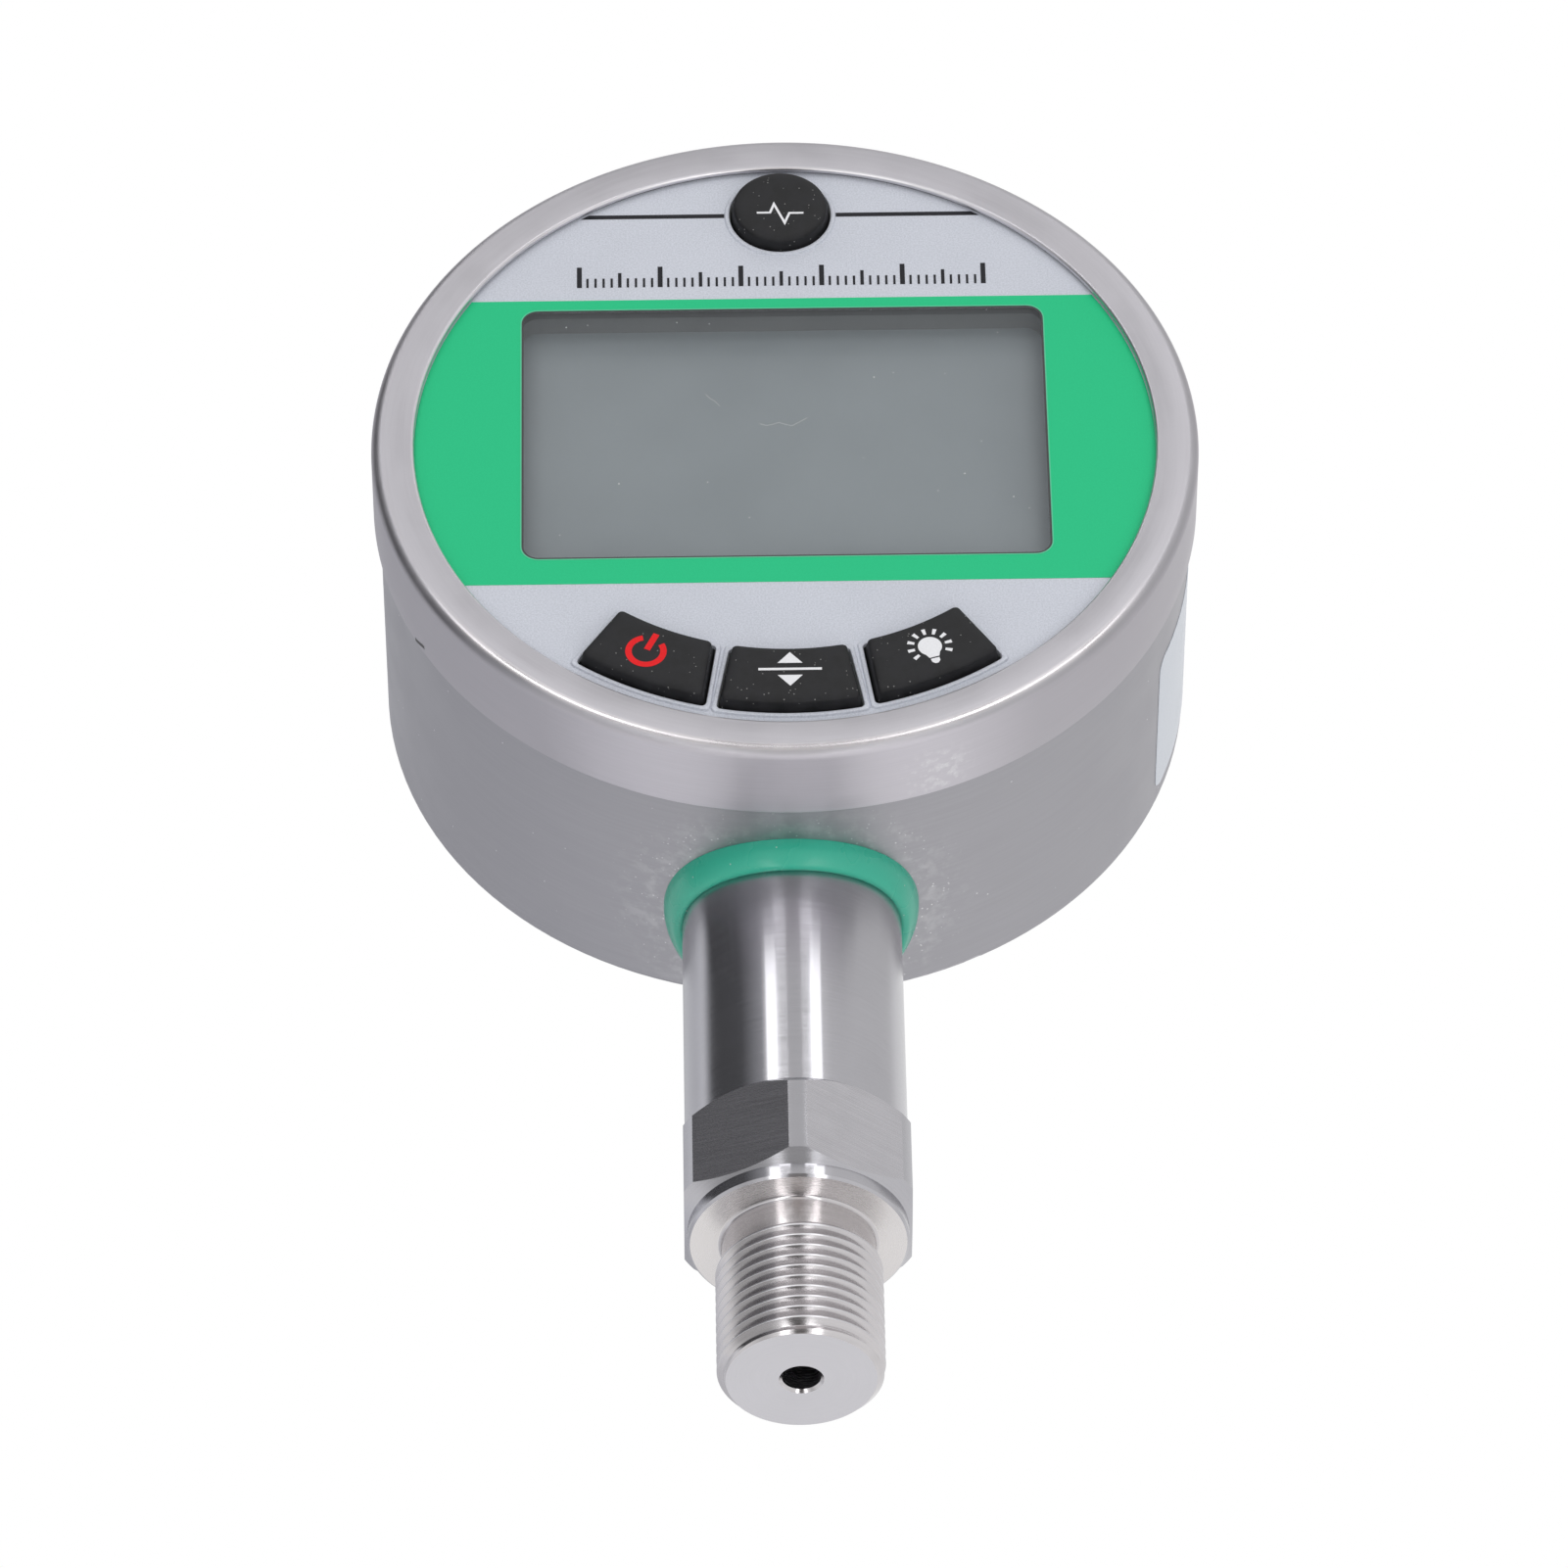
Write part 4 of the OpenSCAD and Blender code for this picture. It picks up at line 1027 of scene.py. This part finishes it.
def side_label_solid():
    """A thin sheet with round corners, bent round the case."""
    half_l = SIDE_LABEL_L / 2
    corners = round_rect(math.radians(SIDE_LABEL_HALF) * CASE_R, half_l, SIDE_LABEL_CORNER, 9)
    outline = []
    for a, b in zip(corners, corners[1:] + corners[:1]):
        steps = max(1, int(abs(b[0] - a[0]) / SIDE_LABEL_STEP))
        outline += between(a, b, [i / steps for i in range(steps)])
    middle = SIDE_LABEL_FROM + half_l
    rings = []
    for share in (1.0, 0.995, 0.9, 0.7, 0.45, 0.2, 0.02):
        lift = 0.02 if share == 1.0 else SIDE_LABEL_T
        rings.append(round_dial(CASE_R + lift, [(w * share / CASE_R, middle + l * share)
                                                for w, l in outline]))
    return loft(rings, cap_start=False)


piece("side_foil", side_label_solid(), "blank_label", replaced="side_label")


# Back of the case: the battery cover and the screws

COVER_CORNER_R = 12.0
COVER_EDGE_R = 0.6
COVER_HOLE_R = 1.6
PANEL_HALF_W = 27.5
PANEL_HALF_H = 21.5
PANEL_CORNER_R = 7.0
PANEL_DEEP = 0.5
M3_R = 1.5
M4_R = 2.0
HEAD_SHARE = 1.85
HEAD_H_SHARE = 1.05
HEAD_RIM_SHARE = 0.35
CROSS_W_SHARE = 0.36
CROSS_L_SHARE = 0.62
CROSS_DEEP_SHARE = 0.75


def carved(body, cutter):
    """A solid with another cut out of it."""
    made = [placed("carving", outward_mesh("carving", *solid)) for solid in (body, cutter)]
    cut = made[0].modifiers.new("cut", "BOOLEAN")
    cut.operation = "DIFFERENCE"
    cut.object = made[1]
    cut.solver = "EXACT"
    result = evaluated(made[0])
    for old in made:
        mesh = old.data
        bpy.data.objects.remove(old)
        bpy.data.meshes.remove(mesh)
    return result


def turned_round(x, z, profile, count=48):
    """A solid turned round a line along Y, from radii and places along it."""
    return loft([[(px, y, pz) for px, pz in circle(x, z, r, count)] for r, y in profile])


def screw_places(node, head_r):
    """Middles and ends of a node's screws, whose heads touch the sides of its box."""
    low, high = box_mm(node)
    heights = [low.z + head_r, high.z - head_r]
    if high.z - low.z < 3 * head_r:
        heights = [(low.z + high.z) / 2]
    return [(x, z, low.y, high.y) for x in (low.x + head_r, high.x - head_r) for z in heights]


def cross_head_screw(x, z, tip, top, radius):
    """A pan head screw with a cross recess."""
    head_r, head_h = radius * HEAD_SHARE, radius * HEAD_H_SHARE
    base = top - head_h
    shank = radius - 0.05
    profile = [(shank * 0.8, tip), (shank, tip + 0.3), (shank, base), (head_r - 0.08, base),
               (head_r, base + 0.08), (head_r, base + head_h * HEAD_RIM_SHARE)]
    profile += [(head_r * cosine(a) ** 0.6,
                 base + head_h * (HEAD_RIM_SHARE + (1 - HEAD_RIM_SHARE) * sine(a)))
                for a in (12, 24, 36, 48, 60, 72, 82)]
    head = turned_round(x, z, profile)
    half_l, half_w = head_r * CROSS_L_SHARE, radius * CROSS_W_SHARE / 2
    floor = top - head_h * CROSS_DEEP_SHARE
    for dx, dz in ((half_l, half_w), (half_w, half_l)):
        bar = loft([[(x + sx * dx * s, y, z + sz * dz * s)
                     for sx, sz in ((1, 1), (-1, 1), (-1, -1), (1, -1))]
                    for y, s in ((floor, 0.55), (top + 0.5, 1.1))])
        head = carved(head, bar)
    return head


def cover_solid():
    """The battery cover, with a rounded edge, a recessed panel and holes for its screws."""
    middle = (cover_low.z + cover_high.z) / 2
    edge = [(0.0, cover_low.y)] + arc(COVER_EDGE_R, cover_high.y - COVER_EDGE_R, COVER_EDGE_R,
                                      180, 90, 7)
    panel = [(inward, cover_high.y - deep) for inward, deep in
             ((0.0, 0.0), (0.15, 0.05), (0.5, PANEL_DEEP - 0.1), (0.8, PANEL_DEEP))]
    rings = []
    for half_w, half_h, corner, steps in (
            (cover_high.x, cover_high.z - middle, COVER_CORNER_R, edge),
            (PANEL_HALF_W, PANEL_HALF_H, PANEL_CORNER_R, panel)):
        for inward, y in steps:
            outline = round_rect(half_w - inward, half_h - inward, corner - inward, 13)
            rings.append([(x, y, middle + z) for x, z in outline])
    solid = loft(rings)
    for x, z, _, _ in screw_places("cover_screws", M3_R * HEAD_SHARE):
        ends = [(COVER_HOLE_R, cover_low.y - 1), (COVER_HOLE_R, cover_high.y + 1)]
        solid = carved(solid, turned_round(x, z, ends, 32))
    return solid


for node, radius in (("cover_screws", M3_R), ("bracket_screws", M4_R)):
    screws = [cross_head_screw(*place, radius)
              for place in screw_places(node, radius * HEAD_SHARE)]
    piece(f"{node}_turned", merged(screws), "screw_steel", replaced=node)
piece("battery_lid", cover_solid(), "black_plastic", replaced="battery_cover")


# A small dark nick on the left, by the end of the bezel's skirt

NICK = [(206.5, 10.75), (207.1, 10.65), (207.9, 10.4), (208.7, 10.1), (209.2, 10.0)]
NICK_W = 0.5
NICK_LIFT = 0.015
flat = ribbon([(math.radians(angle) * BEZEL_R, depth) for angle, depth in NICK], NICK_W)
on_skirt = [(w / BEZEL_R, depth) for w, depth in flat]
rings = [round_dial(BEZEL_R + lift, on_skirt) for lift in (-NICK_LIFT, NICK_LIFT)]
piece("skirt_nick", loft(rings), "black_plastic")


# Camera, fitted to the photograph

CAMERA_PLACE = Vector((-13.23, -946.3, -705.2)) * MM
CAMERA_AZIMUTH = -0.766
CAMERA_RISE = -40.073
CAMERA_ROLL = -1.216
SENSOR = 36.0
FOCAL_SHARE = 10297 / 1601


def direction(azimuth, rise):
    """Outwards from the object. Azimuth 0 is in front of the dial, and 90 is to its right."""
    return Vector((sine(azimuth) * cosine(rise), -cosine(azimuth) * cosine(rise), sine(rise)))


def make_camera():
    back = direction(CAMERA_AZIMUTH, CAMERA_RISE)
    right = (-back).cross(Vector((0, 0, 1))).normalized()
    up = right.cross(-back)
    c, s = cosine(CAMERA_ROLL), sine(CAMERA_ROLL)
    axes = Matrix((right * c + up * s, up * c - right * s, back)).transposed().to_4x4()
    camera = bpy.data.cameras.new("camera")
    camera.sensor_width = SENSOR
    camera.lens = SENSOR * FOCAL_SHARE
    camera.clip_start = 0.05
    camera.clip_end = 50
    made = placed("camera", camera)
    made.matrix_world = Matrix.Translation(CAMERA_PLACE) @ axes
    bpy.context.scene.camera = made


make_camera()


# Studio, in metres: soft boxes, cards that give the metal its contrast, and a pale floor

TARGET = Vector((0, 0, 0.09))
BOX_SIZE = (0.155, 0.7)
BOX_GLOW = 1.85
LOW_BOX_SIZE = (0.13, 0.9)
LOW_BOX_GLOW = 2.8
FILL_SIZE = (0.8, 0.8)
FILL_GLOW = 1.1
GLINT_SIZE = (0.2, 0.28)
GLINT_GLOW = 4.5


def studio_place(azimuth, rise, distance):
    return TARGET + direction(azimuth, rise) * distance


def lamp(name, azimuth, rise, distance, size, glow, glossy=True):
    """A soft box that faces the object and looks this bright."""
    light = bpy.data.lights.new(name, "AREA")
    light.shape = "RECTANGLE"
    light.size, light.size_y = size
    light.energy = glow * math.pi * size[0] * size[1]
    made = placed(name, light)
    made.location = studio_place(azimuth, rise, distance)
    made.rotation_mode = "QUATERNION"
    made.rotation_quaternion = (TARGET - made.location).to_track_quat("-Z", "Y")
    made.visible_glossy = glossy


lamp("box_left", -23.7, 38, 1.0, BOX_SIZE, BOX_GLOW)
lamp("box_right", 22.0, 38, 1.0, BOX_SIZE, BOX_GLOW)
for side, sense in (("left", -1), ("right", 1)):
    lamp(f"low_box_{side}", sense * 27, -48, 1.0, LOW_BOX_SIZE, LOW_BOX_GLOW)
    lamp(f"rim_{side}", sense * 12.5, 17, 1.1, GLINT_SIZE, GLINT_GLOW)
lamp("fill", 35, -38, 1.2, FILL_SIZE, FILL_GLOW, glossy=False)


def staged(name, points, faces):
    """A mesh of the studio, with the nodes of its own material."""
    mesh = plain_mesh(name, points, faces)
    material = bpy.data.materials.new(name)
    mesh.materials.append(material)
    made = placed(name, mesh)
    return made, Nodes(material)


def card(name, rows, tint=(1, 1, 1)):
    """A card that only mirrors see, through rows of points and how much each glows."""
    wide = len(rows[0])
    corners = [i * wide + j for i in range(len(rows) - 1) for j in range(wide - 1)]
    faces = [(a, a + 1, a + 1 + wide, a + wide) for a in corners]
    points, glows = zip(*(pair for row in rows for pair in row))
    made, nodes = staged(name, points, faces)
    made.data.attributes.new("glow", "FLOAT", "POINT").data.foreach_set("value", glows)
    strength = nodes.add("Attribute", attribute_name="glow").outputs["Fac"]
    glow = nodes.add("Emission", Color=tint, Strength=strength)
    nodes.add("OutputMaterial", Surface=glow.outputs[0])
    made.visible_camera = False
    made.visible_diffuse = False
    made.visible_shadow = False
    made.visible_transmission = False


CARD_DISTANCE = 1.4
CARD_STEP = 2
COOL = (0.985, 0.995, 1.035)
WARM = (1.05, 1.0, 0.97)


def round_card(name, stops, rises, tint=(1, 1, 1)):
    """A card curved round the object. Stops give the glow at some azimuths, and rises give how
    much of the card is left at some heights, where 0 is as bright as the world."""
    rows = []
    for (start, first), (end, last) in zip(stops, stops[1:]):
        steps = max(1, round((end - start) / CARD_STEP))
        for i in range(steps + (end == stops[-1][0])):
            azimuth = start + (end - start) * i / steps
            glow = first + (last - first) * i / steps
            rows.append([(studio_place(azimuth, rise, CARD_DISTANCE), 1 - (1 - glow) * left)
                         for rise, left in rises])
    card(name, rows, tint)


round_card("dark_card", [(-108, 1.0), (-97, 0.09), (-56, 0.12), (-32, 0.5)],
           [(-30, 0), (-2, 1), (45, 1), (70, 1), (84, 0)], COOL)
round_card("gap_card", [(-14, 0.78), (13, 0.78)], [(-10, 1), (30, 1), (80, 1)])
round_card("right_card", [(32, 1.0), (36, 0.88), (115, 0.8), (128, 1.0)],
           [(-25, 0), (-15, 1), (30, 1), (70, 1), (80, 0)])
round_card("back_card", [(-190, 1.0), (-178, 0.60), (-165, 0.66), (-148, 0.75), (-122, 0.72),
                         (-110, 1.0)], [(-35, 0), (-15, 1), (25, 1), (50, 1), (60, 0)], COOL)
round_card("low_dark_card", [(-128, 1.0), (-110, 0.5), (-62, 0.5), (-44, 1.0)],
           [(-40, 0), (-50, 1), (-76, 1), (-86, 0)])

GAP_HALF_W = 0.17
GAP_RISES = range(-12, -87, -5)
GAP_BRIGHT_TO = -50
low_rows = [[(studio_place(0, rise, CARD_DISTANCE) + Vector((x, 0, 0)),
              0.8 if rise > GAP_BRIGHT_TO else 0.1) for x in (-GAP_HALF_W, GAP_HALF_W)]
            for rise in GAP_RISES]
card("low_gap_card", low_rows, WARM)

SOFT_COLOUR = (0.98, 0.985, 1.0)
SOFT_LIGHT = 0.55


def make_world():
    """White where the camera looks, and a soft even light for everything else."""
    world = bpy.data.worlds.new("studio")
    bpy.context.scene.world = world
    nodes = Nodes(world)
    path = nodes.add("LightPath").outputs
    seen = path["Is Camera Ray"]
    for ray in ("Is Glossy Ray", "Is Transmission Ray"):
        seen = nodes.math("MAXIMUM", seen, path[ray])
    white = nodes.add("Background", Color=(1, 1, 1))
    soft = nodes.add("Background", Color=SOFT_COLOUR, Strength=SOFT_LIGHT)
    mixed = nodes.add("MixShader", seen, soft.outputs[0], white.outputs[0])
    nodes.add("OutputWorld", Surface=mixed.outputs[0])


make_world()

FLOOR_Z = -0.2 * MM
FLOOR_R = 3.0
FLOOR_SIDES = 64
FLOOR_COLOUR = (0.88, 0.88, 0.88)
FADE_FROM = 0.25
FADE_TO = 1.3


def make_floor():
    """A pale floor that the camera sees only from above, and that fades into the white."""
    ring = [(x, y, FLOOR_Z) for x, y in circle(0, 0, FLOOR_R, FLOOR_SIDES)]
    _, nodes = staged("floor", ring, [tuple(range(FLOOR_SIDES))])
    front = nodes.math("SUBTRACT", nodes.add("LightPath").outputs["Is Camera Ray"],
                       nodes.add("NewGeometry").outputs["Backfacing"], use_clamp=True)
    distance = nodes.vector("LENGTH", nodes.add("TexCoord").outputs["Object"])
    share = nodes.product(front, nodes.spread(distance, 1.0, 0.0, FADE_FROM, FADE_TO))
    pale = nodes.add("BsdfDiffuse", Color=FLOOR_COLOUR)
    clear = nodes.add("BsdfTransparent")
    mixed = nodes.add("MixShader", share, clear.outputs[0], pale.outputs[0])
    nodes.add("OutputMaterial", Surface=mixed.outputs[0])


make_floor()

bpy.context.scene.view_settings.view_transform = "Standard"
